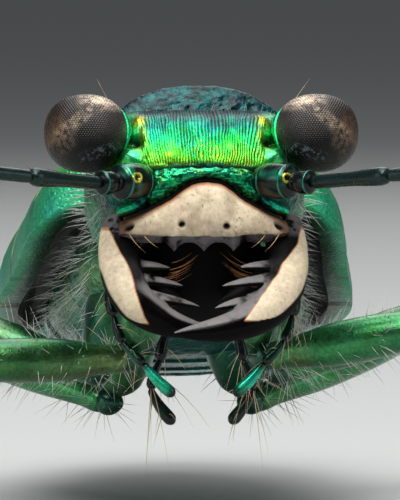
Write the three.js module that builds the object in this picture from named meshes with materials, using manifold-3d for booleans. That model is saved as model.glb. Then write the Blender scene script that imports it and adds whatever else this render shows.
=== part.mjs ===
// A green tiger beetle, life size, standing on its six legs with its head raised.
// Millimetres, +Z up. The beetle faces -Y and the floor it stands on is z = 0.
import * as THREE from "three";
import { mergeVertices } from "three/addons/utils/BufferGeometryUtils.js";
import Module from "manifold-3d";

const wasm = await Module();
wasm.setup();

// Driving dimensions of the animal
const HEAD_WIDTH = 4.04; // across both eyes
const HEAD_TILT = 4; // degrees that the face looks up from the horizontal
const HEAD_HEIGHT = 4.9; // middle of the face above the floor
const BODY_PITCH = 16; // degrees that the body rises towards the head
const PROTHORAX_LENGTH = 2.6;
const PROTHORAX_HALF_WIDTH = 1.45;
const ELYTRA_LENGTH = 8.6;
const ELYTRA_HALF_WIDTH = 2.62;
const SHELL_THICKNESS = 0.5; // wing cases
const LIMB_THICKNESS = 0.5; // thinnest limb away from its tip
const TOOTH_THICKNESS = 0.06; // teeth, claws and spurs at their tips
const GAP = 0.12; // between neighbours that touch
const FORWARD_SHIFT = 7; // brings the middle of the whole length to y = 0

// Colours of the cuticle
const GREEN = 0x1f9a55;
const DARK_GREEN = 0x14564a;
const CREAM = 0xd9c7a2;
const BLACK = 0x15110f;
const EYE_GREY = 0x3a332e;
const COPPER_GREEN = 0x2f7a52;
const BROWN = 0x4a3424;

const radians = THREE.MathUtils.degToRad;
const point = (x, y, z) => new THREE.Vector3(x, y, z);

function cuticle(color, roughness = 0.4, metalness = 0.5) {
  return new THREE.MeshStandardMaterial({ color, roughness, metalness });
}

// A smooth function through a few [position, value] pairs.
function profile(pairs) {
  const last = pairs.length - 1;
  const slope = (k) => {
    const [a, b] = [pairs[Math.max(k - 1, 0)], pairs[Math.min(k + 1, last)]];
    return (b[1] - a[1]) / (b[0] - a[0]);
  };
  return (x) => {
    if (x <= pairs[0][0]) return pairs[0][1];
    if (x >= pairs[last][0]) return pairs[last][1];
    let k = 0;
    while (x > pairs[k + 1][0]) k++;
    const span = pairs[k + 1][0] - pairs[k][0];
    const t = (x - pairs[k][0]) / span;
    const [t2, t3] = [t * t, t * t * t];
    return (
      (2 * t3 - 3 * t2 + 1) * pairs[k][1] +
      (t3 - 2 * t2 + t) * span * slope(k) +
      (3 * t2 - 2 * t3) * pairs[k + 1][1] +
      (t3 - t2) * span * slope(k + 1)
    );
  };
}

// Evenly spaced numbers from a to b, both included.
function steps(a, b, count) {
  return Array.from({ length: count }, (_, i) => a + ((b - a) * i) / (count - 1));
}

// A closed skin over rings of points, all with the same count, with a fan over each end.
function loft(rings) {
  const sides = rings[0].length;
  const positions = rings.flat().flatMap((p) => [p.x, p.y, p.z]);
  const index = [];
  for (let r = 0; r < rings.length - 1; r++) {
    for (let s = 0; s < sides; s++) {
      const [a, b] = [r * sides + s, r * sides + ((s + 1) % sides)];
      index.push(a, b, a + sides, b, b + sides, a + sides);
    }
  }
  for (const [ring, start] of [[0, 0], [rings.length - 1, (rings.length - 1) * sides]]) {
    const middle = rings[ring].reduce((sum, p) => sum.add(p), point(0, 0, 0)).divideScalar(sides);
    const hub = positions.length / 3;
    positions.push(middle.x, middle.y, middle.z);
    for (let s = 0; s < sides; s++) {
      const [a, b] = [start + s, start + ((s + 1) % sides)];
      index.push(...(ring === 0 ? [hub, b, a] : [hub, a, b]));
    }
  }
  const geometry = new THREE.BufferGeometry();
  geometry.setAttribute("position", new THREE.Float32BufferAttribute(positions, 3));
  geometry.setIndex(index);
  return geometry;
}

const signedPower = (value, power) => Math.sign(value) * Math.abs(value) ** power;

// A rounded outline of [across, up] pairs: power 2 is an ellipse, more is squarer.
function outline(sides, halfWidth, up, down = up, power = 2) {
  return Array.from({ length: sides }, (_, i) => {
    const a = (2 * Math.PI * (i + 0.5)) / sides;
    const rise = signedPower(Math.sin(a), 2 / power);
    return [halfWidth * signedPower(Math.cos(a), 2 / power), rise * (rise > 0 ? up : down)];
  });
}

// Turns a three.js geometry into a manifold-3d solid facing outwards, and back.
function solid(geometry) {
  let plain = geometry.index ? geometry.toNonIndexed() : geometry.clone();
  plain.deleteAttribute("normal");
  plain.deleteAttribute("uv");
  plain = mergeVertices(plain, 1e-4);
  const triVerts = new Uint32Array(plain.index.array);
  const vertProperties = plain.attributes.position.array;
  const made = new wasm.Manifold(new wasm.Mesh({ numProp: 3, vertProperties, triVerts }));
  if (made.volume() > 0) return made;
  for (let i = 0; i < triVerts.length; i += 3) {
    [triVerts[i + 1], triVerts[i + 2]] = [triVerts[i + 2], triVerts[i + 1]];
  }
  return new wasm.Manifold(new wasm.Mesh({ numProp: 3, vertProperties, triVerts }));
}

function geometryOf(made) {
  const largest = made.decompose().sort((a, b) => b.volume() - a.volume())[0];
  const mesh = largest.getMesh();
  const positions = new Float32Array(mesh.numVert * 3);
  for (let i = 0; i < mesh.numVert; i++) {
    positions.set(mesh.vertProperties.subarray(i * mesh.numProp, i * mesh.numProp + 3), i * 3);
  }
  const geometry = new THREE.BufferGeometry();
  geometry.setAttribute("position", new THREE.BufferAttribute(positions, 3));
  geometry.setIndex(new THREE.BufferAttribute(mesh.triVerts, 1));
  geometry.computeVertexNormals();
  return geometry;
}

const fuse = (solids) => solids.reduce((sum, piece) => sum.add(piece));

function named(name, made, material) {
  const mesh = new THREE.Mesh(geometryOf(made), material);
  mesh.name = name;
  return mesh;
}

// A tapered limb piece through points with a [across, deep] radius at each: across lies level.
function limb(points, radii, sides = 10) {
  const rings = points.map((p, i) => {
    const ahead = points[Math.min(i + 1, points.length - 1)];
    const along = ahead.clone().sub(points[Math.max(i - 1, 0)]).normalize();
    const level = point(0, 0, 1).cross(along);
    const across = level.length() > 1e-3 ? level.normalize() : point(1, 0, 0);
    const deep = along.clone().cross(across);
    return outline(sides, radii[i][0], radii[i][1]).map(([a, b]) =>
      p.clone().addScaledVector(across, a).addScaledVector(deep, b),
    );
  });
  return solid(loft(rings));
}

// A straight limb piece from a to b with [share of length, across, deep] stations.
function segment(a, b, stations, sides = 10) {
  const points = stations.map(([share]) => a.clone().lerp(b, share));
  return limb(points, stations.map(([, across, deep]) => [across, deep]), sides);
}

// The same line with a length cut off its start and its end.
function shortened(a, b, start, end) {
  const along = b.clone().sub(a).normalize();
  return [a.clone().addScaledVector(along, start), b.clone().addScaledVector(along, -end)];
}

function ellipsoid(centre, radii, wide = 20, high = 14) {
  const geometry = new THREE.SphereGeometry(1, wide, high);
  geometry.scale(...radii).translate(centre.x, centre.y, centre.z);
  return solid(geometry);
}

const mirrored = (p, side) => point(p.x * side, p.y, p.z);
const SIDES = [["left", 1], ["right", -1]]; // the beetle's own left is +X

// Head group: x across, y back from the face, z up the face
const head = new THREE.Group();
head.position.set(0, 0, HEAD_HEIGHT);
head.rotation.x = -radians(HEAD_TILT);

// The plane where the head meets the prothorax leans with the body.
const LEAN = radians(BODY_PITCH - HEAD_TILT);
const COLLAR = point(0, 1.5, 0.5); // middle of the prothorax's front, in the head group
const BODY_AXIS_IN_HEAD = point(0, Math.cos(LEAN), -Math.sin(LEAN));
const COLLAR_DISTANCE = COLLAR.dot(BODY_AXIS_IN_HEAD);

// Half width, front and back of the head capsule at each height up the face.
const HEAD_LOW = -0.42;
const HEAD_HIGH = 1.17;
const capsuleHalfWidth = profile([
  [HEAD_LOW, 0.98], [-0.2, 1.2], [0.1, 1.34], [0.35, 1.34],
  [0.6, 1.2], [0.85, 1.05], [1.05, 0.82], [HEAD_HIGH, 0.4],
]);
const capsuleFront = profile([
  [HEAD_LOW, 0.62], [-0.2, 0.5], [0.1, 0.38], [0.42, 0.3],
  [0.6, 0.36], [0.85, 0.54], [1.05, 0.8], [HEAD_HIGH, 1.1],
]);
const CAPSULE_BACK = 2.1;
const CAPSULE_SQUARENESS = 2.7;

function capsule() {
  const rings = steps(HEAD_LOW, HEAD_HIGH, 13).map((z) => {
    const front = capsuleFront(z);
    const middle = (front + CAPSULE_BACK) / 2;
    const [back, ahead] = [CAPSULE_BACK - middle, middle - front];
    return outline(28, capsuleHalfWidth(z), back, ahead, CAPSULE_SQUARENESS).map(([x, y]) =>
      point(x, middle + y, z),
    );
  });
  return solid(loft(rings));
}

const EYE_CENTRE = point(1.46, 0.83, 0.86);
const EYE_RADII = [HEAD_WIDTH / 2 - EYE_CENTRE.x, 0.58, 0.5];

function eye(side, grow = 0) {
  return ellipsoid(mirrored(EYE_CENTRE, side), EYE_RADII.map((r) => r + grow));
}

// The labrum and the clypeus are plates across the face: top, bottom, front and thickness at each x.
const FACE_CURVE = 0.2; // how fast the plates fall back towards the sides
const FACE_BELLY = 0.1; // how far the middle of a plate stands out
const PLATE_SQUARENESS = 3;
const LABRUM_HALF_WIDTH = 1.08;
const LABRUM_LOW = -0.5; // its lower edge between the teeth
const LABRUM_TEETH = [0, 0.38]; // middle tooth and the one each side
const TOOTH_LENGTH = 0.18;
const TOOTH_HALF_WIDTH = 0.15;
const CORNER_START = 0.92; // where the lower edge turns up to the corner
const CORNER_RISE = 0.1;
const labrumTop = profile([
  [0, 0.22], [0.17, 0.195], [0.3, 0.12], [0.46, 0], [0.65, -0.105], [0.88, -0.2], [LABRUM_HALF_WIDTH, -0.32],
]);

function labrumBottom(x) {
  const nearest = Math.min(...LABRUM_TEETH.map((tooth) => Math.abs(Math.abs(x) - tooth)));
  const tooth = Math.max(0, 1 - nearest / TOOTH_HALF_WIDTH);
  const corner = Math.max(0, (Math.abs(x) - CORNER_START) / (LABRUM_HALF_WIDTH - CORNER_START));
  return LABRUM_LOW - TOOTH_LENGTH * tooth + CORNER_RISE * corner;
}

function facePlate(halfWidth, count, top, bottom, front, thickness, grow = 0, sides = 10) {
  const rings = steps(-halfWidth - grow, halfWidth + grow, count).map((x) => {
    const [high, low] = [top(Math.abs(x)) + grow, bottom(x) - grow];
    const [middle, half] = [(high + low) / 2, (high - low) / 2];
    const inset = FACE_CURVE * x * x;
    return outline(sides, thickness / 2 + grow, half, half, PLATE_SQUARENESS).map(([across, up]) => {
      const belly = FACE_BELLY * (1 - (up / half) ** 2);
      return point(x, front + inset - belly + thickness / 2 + across, middle + up);
    });
  });
  return solid(loft(rings));
}

const LABRUM_FRONT = 0.08;
const LABRUM_THICKNESS = 0.42;
const labrum = (grow = 0) =>
  facePlate(LABRUM_HALF_WIDTH, 35, labrumTop, labrumBottom, LABRUM_FRONT, LABRUM_THICKNESS, grow);

const CLYPEUS_HALF_WIDTH = 1.08;
const CLYPEUS_FRONT = 0.24;
const CLYPEUS_THICKNESS = 0.45;
const clypeusTop = profile([[0, 0.44], [0.5, 0.42], [0.8, 0.04], [CLYPEUS_HALF_WIDTH, -0.1]]);
const clypeusBottom = (x) => labrumTop(Math.abs(x)) + GAP;
const clypeus = (grow = 0) =>
  facePlate(CLYPEUS_HALF_WIDTH, 19, clypeusTop, clypeusBottom, CLYPEUS_FRONT, CLYPEUS_THICKNESS, grow);

// Mandibles: sickles that cross below the labrum, the left one in front.
const MANDIBLE_PATH = [
  [1.04, 0.78, -0.32], [1.07, 0.46, -0.66], [1.03, 0.18, -1.02],
  [0.86, 0, -1.32], [0.52, -0.1, -1.54], [0.14, -0.16, -1.64],
];
const MANDIBLE_RADII = [ // half width and half depth at each point of the path
  [0.26, 0.3], [0.28, 0.27], [0.29, 0.25], [0.26, 0.23], [0.2, 0.19], [0.14, 0.15],
];
const MANDIBLE_TIPS = { left: [-0.42, -0.2, -1.7], right: [-0.08, -0.1, -1.6] };
const TIP_RADII = [0.05, 0.06];
const CROSSING = { left: -0.24, right: 0.2 }; // how far each tip is bent forward or back
const CROSSING_START = 1; // distance from the middle where that bend begins
const CROSSING_REACH = 0.7;
const MANDIBLE_TOOTH = [[0, 0.17, 0.16], [0.5, 0.12, 0.12], [1, TOOTH_THICKNESS / 2, TOOTH_THICKNESS / 2]];
const MANDIBLE_TEETH = [ // root on the blade, then the point
  [[0.9, 0.22, -0.8], [0.36, 0.2, -0.88]],
  [[0.84, 0.12, -1.05], [0.26, 0.1, -1.12]],
  [[0.7, 0.05, -1.27], [0.16, 0.02, -1.36]],
];

function onBlade(sideName, side, [x, y, z]) {
  const share = Math.min(1, Math.max(0, (CROSSING_START - x) / CROSSING_REACH));
  const bend = CROSSING[sideName] * share;
  return point(x * side, y + bend, z);
}

function blade(sideName, side, grow = 0) {
  const path = [...MANDIBLE_PATH, MANDIBLE_TIPS[sideName]].map((p) => onBlade(sideName, side, p));
  const backwards = path[0].clone().sub(path[1]).normalize();
  path[0].addScaledVector(backwards, grow);
  const radii = [...MANDIBLE_RADII, TIP_RADII].map(([across, deep]) => [across + grow, deep + grow]);
  return limb(path, radii, 12);
}

function mandible(sideName, side) {
  const teeth = MANDIBLE_TEETH.map(([root, tip]) => {
    const [from, to] = [onBlade(sideName, side, root), onBlade(sideName, side, tip)];
    return segment(from, to, MANDIBLE_TOOTH, 8);
  });
  return fuse([blade(sideName, side), ...teeth]).subtract(labrum(GAP)).subtract(clypeus(GAP));
}

// The maxillae and the labium close the mouth from behind, and carry the palps.
const MAXILLA_PATH = [[0.82, 1.08, -0.66], [0.78, 0.92, -0.95], [0.56, 0.74, -1.2], [0.26, 0.6, -1.34]];
const MAXILLA_RADII = [[0.25, 0.24], [0.25, 0.22], [0.2, 0.18], [0.07, 0.07]];

function maxilla(sideName, side) {
  const path = MAXILLA_PATH.map(([x, y, z]) => point(x * side, y, z));
  const lobe = limb(path, MAXILLA_RADII);
  return lobe.subtract(blade(sideName, side, GAP)).subtract(labium(GAP));
}

const LABIUM_STATIONS = [ // back from the face, up the face, then the half width and half depth there
  [1.06, -0.62, 0.38, 0.2], [1.04, -0.9, 0.42, 0.22], [1.02, -1.25, 0.46, 0.2], [1.0, -1.55, 0.32, 0.14],
];

function labium(grow = 0) {
  const path = LABIUM_STATIONS.map(([y, z]) => point(0, y, z));
  return limb(path, LABIUM_STATIONS.map(([, , across, deep]) => [across + grow, deep + grow]), 12);
}

// A round joint from a to b: stations are [share of its length, share of its full radius].
function roundJoint(a, b, radius, stations, sides = 8) {
  const rings = stations.map(([share, width]) => [share, width * radius, width * radius]);
  return segment(a, b, rings, sides);
}

// A palp is a chain of swelling joints between the points of its path.
const PALP_RADIUS = LIMB_THICKNESS / 2;
const PALP_JOINT = [[-0.06, 0.55], [0.15, 0.78], [0.8, 1]];
const MAXILLARY_PATH = [
  [1.2, 0.72, -1.1], [1.14, 0.58, -1.5], [1.03, 0.5, -1.82], [0.76, 0.42, -2.1], [0.38, 0.36, -2.5],
];
const LABIAL_PATH = [[0.42, 1.04, -1.66], [0.54, 1.0, -2.08], [0.66, 0.96, -2.44], [0.36, 0.92, -2.88]];

function palp(path, side) {
  const at = path.map(([x, y, z]) => point(x * side, y, z));
  const joints = at.slice(1).map((end, i) => {
    const close = i === at.length - 2 ? 0.6 : 0.8; // the last joint ends rounder
    return roundJoint(at[i], end, PALP_RADIUS, [...PALP_JOINT, [1, close]]);
  });
  return fuse(joints);
}

// Antennae: a stout scape and small pedicel, then nine slender joints in two lengths.
const SCAPE_PATH = [[0.84, 0.22, 0.24], [1.14, -0.08, 0.22]];
const ANTENNA_TURN = [ // end of each joint from the pedicel on
  [1.36, -0.28, 0.21], [2.24, -1.2, 0.28], [3.04, -1.66, 0.36], [4.02, -1.84, 0.46],
  [4.94, -1.74, 0.57], [5.74, -1.4, 0.68], [6.42, -0.92, 0.78], [6.98, -0.36, 0.86],
  [7.42, 0.24, 0.92], [7.76, 0.88, 0.96], [8.02, 1.56, 0.98],
];
const SHAFT_JOINTS = 4; // long green joints, before the brown ones of the whip
const ANTENNA_JOINTS = ANTENNA_TURN.length - 1;
const ANTENNA_RADIUS = LIMB_THICKNESS / 2;
const ANTENNA_TAPER = 0.08; // share of the radius lost at each joint of the whip
const ANTENNA_JOINT = [[0, 0.72], [0.2, 0.86], [0.85, 1], [1, 0.75]];
const ANTENNA_START = 1.4 * GAP; // before a run, so that its round end clears the joint before
const JOINT_OVERLAP = 0.06;
const BARREL = [[-0.1, 0.64], [0.1, 0.84], [0.5, 1], [0.9, 0.96], [1.05, 0.68]];
const PEDICEL = [[-0.3, 0.56], [0.4, 0.88], [1, 0.64]];

function antennaRun(from, to, side) {
  const at = ANTENNA_TURN.map(([x, y, z]) => point(x * side, y, z));
  const joints = [];
  for (let i = from; i < to; i++) {
    const along = at[i + 1].clone().sub(at[i]).normalize();
    const start = at[i].clone().addScaledVector(along, i === from ? ANTENNA_START : -JOINT_OVERLAP);
    const radius = ANTENNA_RADIUS * (1 - ANTENNA_TAPER * Math.max(0, i - SHAFT_JOINTS));
    joints.push(roundJoint(start, at[i + 1], radius, ANTENNA_JOINT));
  }
  return fuse(joints);
}

function scape(side) {
  const [a, b] = SCAPE_PATH.map(([x, y, z]) => point(x * side, y, z));
  const end = mirrored(point(...ANTENNA_TURN[0]), side);
  const barrel = roundJoint(a, b, ANTENNA_RADIUS, BARREL, 14);
  return fuse([barrel, roundJoint(b, end, ANTENNA_RADIUS, PEDICEL, 12)]);
}

// Body group: x across, y back from the waist behind the prothorax, z up
const body = new THREE.Group();
const waistInHead = COLLAR.clone().addScaledVector(BODY_AXIS_IN_HEAD, PROTHORAX_LENGTH);
head.updateMatrixWorld(true);
body.position.copy(waistInHead.applyMatrix4(head.matrixWorld));
body.rotation.x = -radians(BODY_PITCH);

// A trunk piece through the stations along y, each with a half width, a top and a bottom.
const MIDDLE_SHARE = 0.4; // how far the widest line lies from the bottom to the top
function trunk(stations, halfWidth, top, bottom, power, sides, grow = 0) {
  const last = stations.length - 1;
  const rings = stations.map((y, i) => {
    const reach = i === 0 ? -grow : i === last ? grow : 0;
    const [high, low] = [top(y) + grow, bottom(y) - grow];
    const middle = low + MIDDLE_SHARE * (high - low);
    return outline(sides, halfWidth(y) + grow, high - middle, middle - low, power).map(([x, z]) =>
      point(x, y + reach, middle + z),
    );
  });
  return solid(loft(rings));
}

// Prothorax: a waisted barrel with a groove behind its front edge and one before its back edge.
const W = PROTHORAX_HALF_WIDTH;
const TRUNK_SQUARENESS = 2.3;
const prothoraxHalfWidth = profile([
  [-PROTHORAX_LENGTH, 0.86 * W], [-2.38, 0.93 * W], [-2.12, 0.89 * W], [-1.5, W],
  [-0.95, 0.98 * W], [-0.42, 0.83 * W], [-0.2, 0.86 * W], [0, 0.78 * W],
]);
const prothoraxTop = profile([
  [-PROTHORAX_LENGTH, 0.98], [-2.38, 1.08], [-2.12, 1.0], [-1.5, 1.16],
  [-0.95, 1.12], [-0.42, 0.92], [-0.2, 0.98], [0, 0.86],
]);
const prothoraxBottom = profile([[-PROTHORAX_LENGTH, -0.86], [-1.8, -1.1], [-0.8, -1.16], [0, -0.9]]);

function prothorax(grow = 0) {
  const stations = steps(-PROTHORAX_LENGTH, 0, 15);
  return trunk(stations, prothoraxHalfWidth, prothoraxTop, prothoraxBottom, TRUNK_SQUARENESS, 24, grow);
}

// Wing cases: a thin shell from the seam on the back to the side edge, and a folded rim below it.
const SHOULDER = 0.16; // where the wing cases start behind the waist
const L = ELYTRA_LENGTH;
const elytraHalfWidth = profile([
  [SHOULDER, 1.35], [0.4, 1.86], [0.85, 2.14], [2.4, 2.34], [5.2, ELYTRA_HALF_WIDTH],
  [6.7, 2.36], [7.7, 1.68], [8.3, 0.92], [L, 0.42],
]);
const elytraCrest = profile([
  [SHOULDER, 0.98], [0.8, 1.16], [3.2, 1.32], [5.6, 1.2], [7.2, 0.76], [8.2, 0.28], [L, 0.06],
]);
const elytraEdge = profile([[SHOULDER, 0.1], [0.8, -0.2], [3, -0.42], [6, -0.42], [7.6, -0.3], [L, -0.34]]);

const SHELL_ARC_POINTS = 8;
const SHELL_POWER = 0.82; // below 1 is squarer than an ellipse
const THIN_BY_HEIGHT = 0.6; // near the tip the shell is thinner, as a share of its height
const THIN_BY_WIDTH = 0.75; // and of its half width

function shellSection(y, side) {
  const halfWidth = elytraHalfWidth(y);
  const [crest, edge] = [elytraCrest(y), elytraEdge(y)];
  const thinnest = Math.min(THIN_BY_HEIGHT * (crest - edge), THIN_BY_WIDTH * halfWidth);
  const thickness = Math.min(SHELL_THICKNESS, thinnest);
  const arc = (inset) =>
    steps(0, Math.PI / 2, SHELL_ARC_POINTS).map((a) => {
      const across = (halfWidth - inset) * Math.abs(Math.sin(a)) ** SHELL_POWER;
      const up = edge + (crest - edge - inset) * Math.abs(Math.cos(a)) ** SHELL_POWER;
      return point(side * Math.max(across, GAP / 2), y, up);
    });
  return [...arc(0), ...arc(thickness).reverse()];
}

function elytron(side) {
  return solid(loft(steps(SHOULDER, L, 20).map((y) => shellSection(y, side))));
}

// The trunk under the wing cases: thorax, then the ringed abdomen.
const shellRoom = (y) => elytraCrest(y) - SHELL_THICKNESS - 2 * GAP;
const sideRoom = (y) => elytraHalfWidth(y) - SHELL_THICKNESS - GAP;
const THORAX_END = 3.5;
const NECK_HALF_WIDTH = 0.95; // the front of the thorax, narrower than the room under the shell
const NECK_TOP = 0.35;
const NECK_FLARE = 1.6;
const THORAX_ROOM = 0.05;
const ABDOMEN_ROOM = [0.08, 0.16]; // at the sides and on top
const thoraxHalfWidth = (y) => Math.min(sideRoom(y) - THORAX_ROOM, NECK_HALF_WIDTH + NECK_FLARE * y);
const thoraxTop = (y) => Math.min(shellRoom(y) - THORAX_ROOM, NECK_TOP + y);
const thoraxBottom = profile([[GAP, -0.85], [0.5, -1.2], [1.2, -1.42], [2.6, -1.55], [THORAX_END, -1.4]]);
const thorax = (grow = 0) =>
  trunk(steps(GAP, THORAX_END, 10), thoraxHalfWidth, thoraxTop, thoraxBottom, TRUNK_SQUARENESS, 24, grow);

const ABDOMEN_END = 8.0;
const RINGS = 6; // visible rings under the abdomen
const RING_STEP = 0.07; // each ring's front edge is tucked under the one before
const RING_STATIONS = [0.02, 0.5, 0.98];
const ABDOMEN_TIP_HALF_WIDTH = 0.25;
const abdomenFall = profile([[THORAX_END, -1.36], [5.5, -1.3], [7, -1.05], [ABDOMEN_END, -0.66]]);
const abdomenStart = THORAX_END + GAP;
const ringShare = (y) => (((y - abdomenStart) * RINGS) / (ABDOMEN_END - abdomenStart)) % 1;
const tuck = (y) => RING_STEP * Math.max(0, 1 - 2 * ringShare(y));

function abdomen(grow = 0) {
  const ringLength = (ABDOMEN_END - abdomenStart) / RINGS;
  const stations = Array.from({ length: RINGS }, (_, i) =>
    RING_STATIONS.map((share) => abdomenStart + (i + share) * ringLength),
  ).flat();
  const halfWidth = (y) => Math.max(ABDOMEN_TIP_HALF_WIDTH, sideRoom(y) - ABDOMEN_ROOM[0]) - tuck(y);
  const top = (y) => shellRoom(y) - ABDOMEN_ROOM[1];
  const bottom = (y) => abdomenFall(y) + tuck(y);
  return trunk(stations, halfWidth, top, bottom, TRUNK_SQUARENESS, 22, grow);
}

// The scutellum is the small triangle between the wing cases at the waist.
const SCUTELLUM_LENGTH = 0.85;
const SCUTELLUM_HALF_WIDTH = 0.5;
const SCUTELLUM_DEPTH = 0.28;
const SCUTELLUM_RISE = 0.06; // above the crest of the wing cases
const SCUTELLUM_TAPER = 0.85;

function scutellum(grow = 0) {
  const rings = steps(0, 1, 5).map((share) => {
    const y = SHOULDER + share * SCUTELLUM_LENGTH + grow * (2 * share - 1);
    const half = SCUTELLUM_HALF_WIDTH * (1 - SCUTELLUM_TAPER * share) + grow;
    const depth = SCUTELLUM_DEPTH + (grow ? SHELL_THICKNESS : 0);
    const middle = elytraCrest(y) + SCUTELLUM_RISE - SCUTELLUM_DEPTH;
    return outline(10, half, SCUTELLUM_DEPTH + grow, depth, PLATE_SQUARENESS).map(([x, z]) =>
      point(x, y, middle + z),
    );
  });
  return solid(loft(rings));
}

// Legs: coxa and root in the body group, then knee, ankle and tip on the floor frame.
const LEGS = {
  front: {
    coxa: point(0.55, -1.15, -0.75),
    root: point(0.85, -1.25, -2.35),
    knee: point(3.7, 1.2, 3.3),
    ankle: point(4.85, 0.1, 0.44),
    tip: point(6.3, -2.5, 0.2),
    right: { knee: point(3.85, 1.1, 2.75), ankle: point(5.7, -0.1, 0.44), tip: point(7.35, -2.5, 0.2) },
  },
  middle: {
    coxa: point(0.85, 1.0, -1.0),
    root: point(1.2, 1.2, -2.1),
    knee: point(4.55, 5.75, 3.3),
    ankle: point(6.15, 7.1, 0.44),
    tip: point(8.2, 9.5, 0.2),
  },
  hind: {
    coxa: point(0.72, 2.95, -1.0),
    root: point(0.95, 3.3, -2.15),
    knee: point(4.6, 9.7, 2.85),
    ankle: point(6.9, 12.9, 0.44),
    tip: point(9.0, 16.5, 0.2),
  },
};
const PLACES = Object.keys(LEGS);
const FEMUR_RADIUS = 0.36;
const TIBIA_RADIUS = 0.26;
const COXA = [[-0.25, 0.3, 0.34], [0.1, 0.5, 0.55], [0.55, 0.46, 0.5], [1, 0.3, 0.3]];
const FEMUR = [
  [0, 0.5], [0.06, 0.76], [0.14, 0.68], [0.35, 0.98], [0.6, 1.03], [0.85, 0.78], [0.96, 0.82], [1, 0.5],
];
const TIBIA = [[0, 0.8], [0.1, 1], [0.75, 0.98], [0.96, 1.15], [1, 0.8]];
const SPUR = [[0, 0.12, 0.12], [1, TOOTH_THICKNESS / 2, TOOTH_THICKNESS / 2]];
const ROOT_SETBACK = 0.28 + GAP; // keeps the coxa clear of the femur
const KNEE_SETBACK = 0.34; // keeps the tibia clear of the femur

// The right front leg is bent lower than the left one.
const legOf = (place, name) => ({ ...LEGS[place], ...LEGS[place][name] });

function coxa(leg, side) {
  const [top, end] = shortened(mirrored(leg.coxa, side), mirrored(leg.root, side), 0, ROOT_SETBACK);
  return segment(top, end, COXA, 14);
}

function femur(root, knee) {
  const [a, b] = shortened(root, knee, -GAP, GAP / 2);
  return roundJoint(a, b, FEMUR_RADIUS, FEMUR, 12);
}

function tibia(knee, ankle) {
  const [a, b] = shortened(knee, ankle, KNEE_SETBACK, GAP / 2);
  const along = b.clone().sub(a).normalize();
  const across = along.clone().cross(point(0, 0, 1)).normalize();
  const spurs = [-1, 1].map((turn) => {
    const from = b.clone().addScaledVector(along, -0.3).addScaledVector(across, 0.14 * turn);
    const to = b.clone().addScaledVector(along, 0.12).addScaledVector(across, 0.42 * turn);
    return segment(from, to, SPUR, 6);
  });
  return fuse([roundJoint(a, b, TIBIA_RADIUS, TIBIA, 10), ...spurs]);
}

const TARSUS_RADIUS = 0.25;
const TARSUS_HEIGHT = 0.19; // axis above the floor, below the radius, so each joint has a flat sole
const TARSUS_JOINTS = [0.4, 0.2, 0.14, 0.1, 0.16]; // share of the foot's length
const TARSUS_JOINT = [[0, 0.66], [0.75, 1], [1, 0.8]];
const TARSUS_TAPER = 0.08;
const HEEL_SETBACK = 0.26;
const HEEL_HEIGHT = 0.3;
const CLAW = [ // ahead of the toe, aside, above the floor and radius
  [-0.16, 0, 0.2, 0.12], [0.25, 0.2, 0.2, 0.09], [0.45, 0.32, 0.08, TOOTH_THICKNESS / 2],
];

function tarsus(ankle, tip) {
  const along = tip.clone().sub(ankle).setZ(0).normalize();
  const heel = ankle.clone().addScaledVector(along, HEEL_SETBACK).setZ(HEEL_HEIGHT);
  const toe = tip.clone().setZ(TARSUS_HEIGHT);
  let share = 0;
  const joints = TARSUS_JOINTS.map((length, i) => {
    const from = i ? heel.clone().lerp(toe, share - 0.02).setZ(TARSUS_HEIGHT) : heel;
    share += length;
    const to = heel.clone().lerp(toe, share).setZ(TARSUS_HEIGHT);
    return roundJoint(from, to, TARSUS_RADIUS * (1 - TARSUS_TAPER * i), TARSUS_JOINT, 6);
  });
  const aside = point(-along.y, along.x, 0);
  const claws = [-1, 1].map((turn) => {
    const path = CLAW.map(([ahead, out, height]) =>
      toe.clone().addScaledVector(along, ahead).addScaledVector(aside, out * turn).setZ(height),
    );
    return limb(path, CLAW.map(([, , , radius]) => [radius, radius]), 5);
  });
  return fuse([...joints, ...claws]).trimByPlane([0, 0, 1], 0);
}

// Puts the head together, cutting each seat clear of what sits in it.
const SOCKET = [[-0.4, 0.3, 0.3], [0.1, 0.36, 0.36], [1, 0.4, 0.4]];
const WIDE_GAP = 1.6 * GAP; // round a piece whose faceted edge bulges between its points

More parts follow.
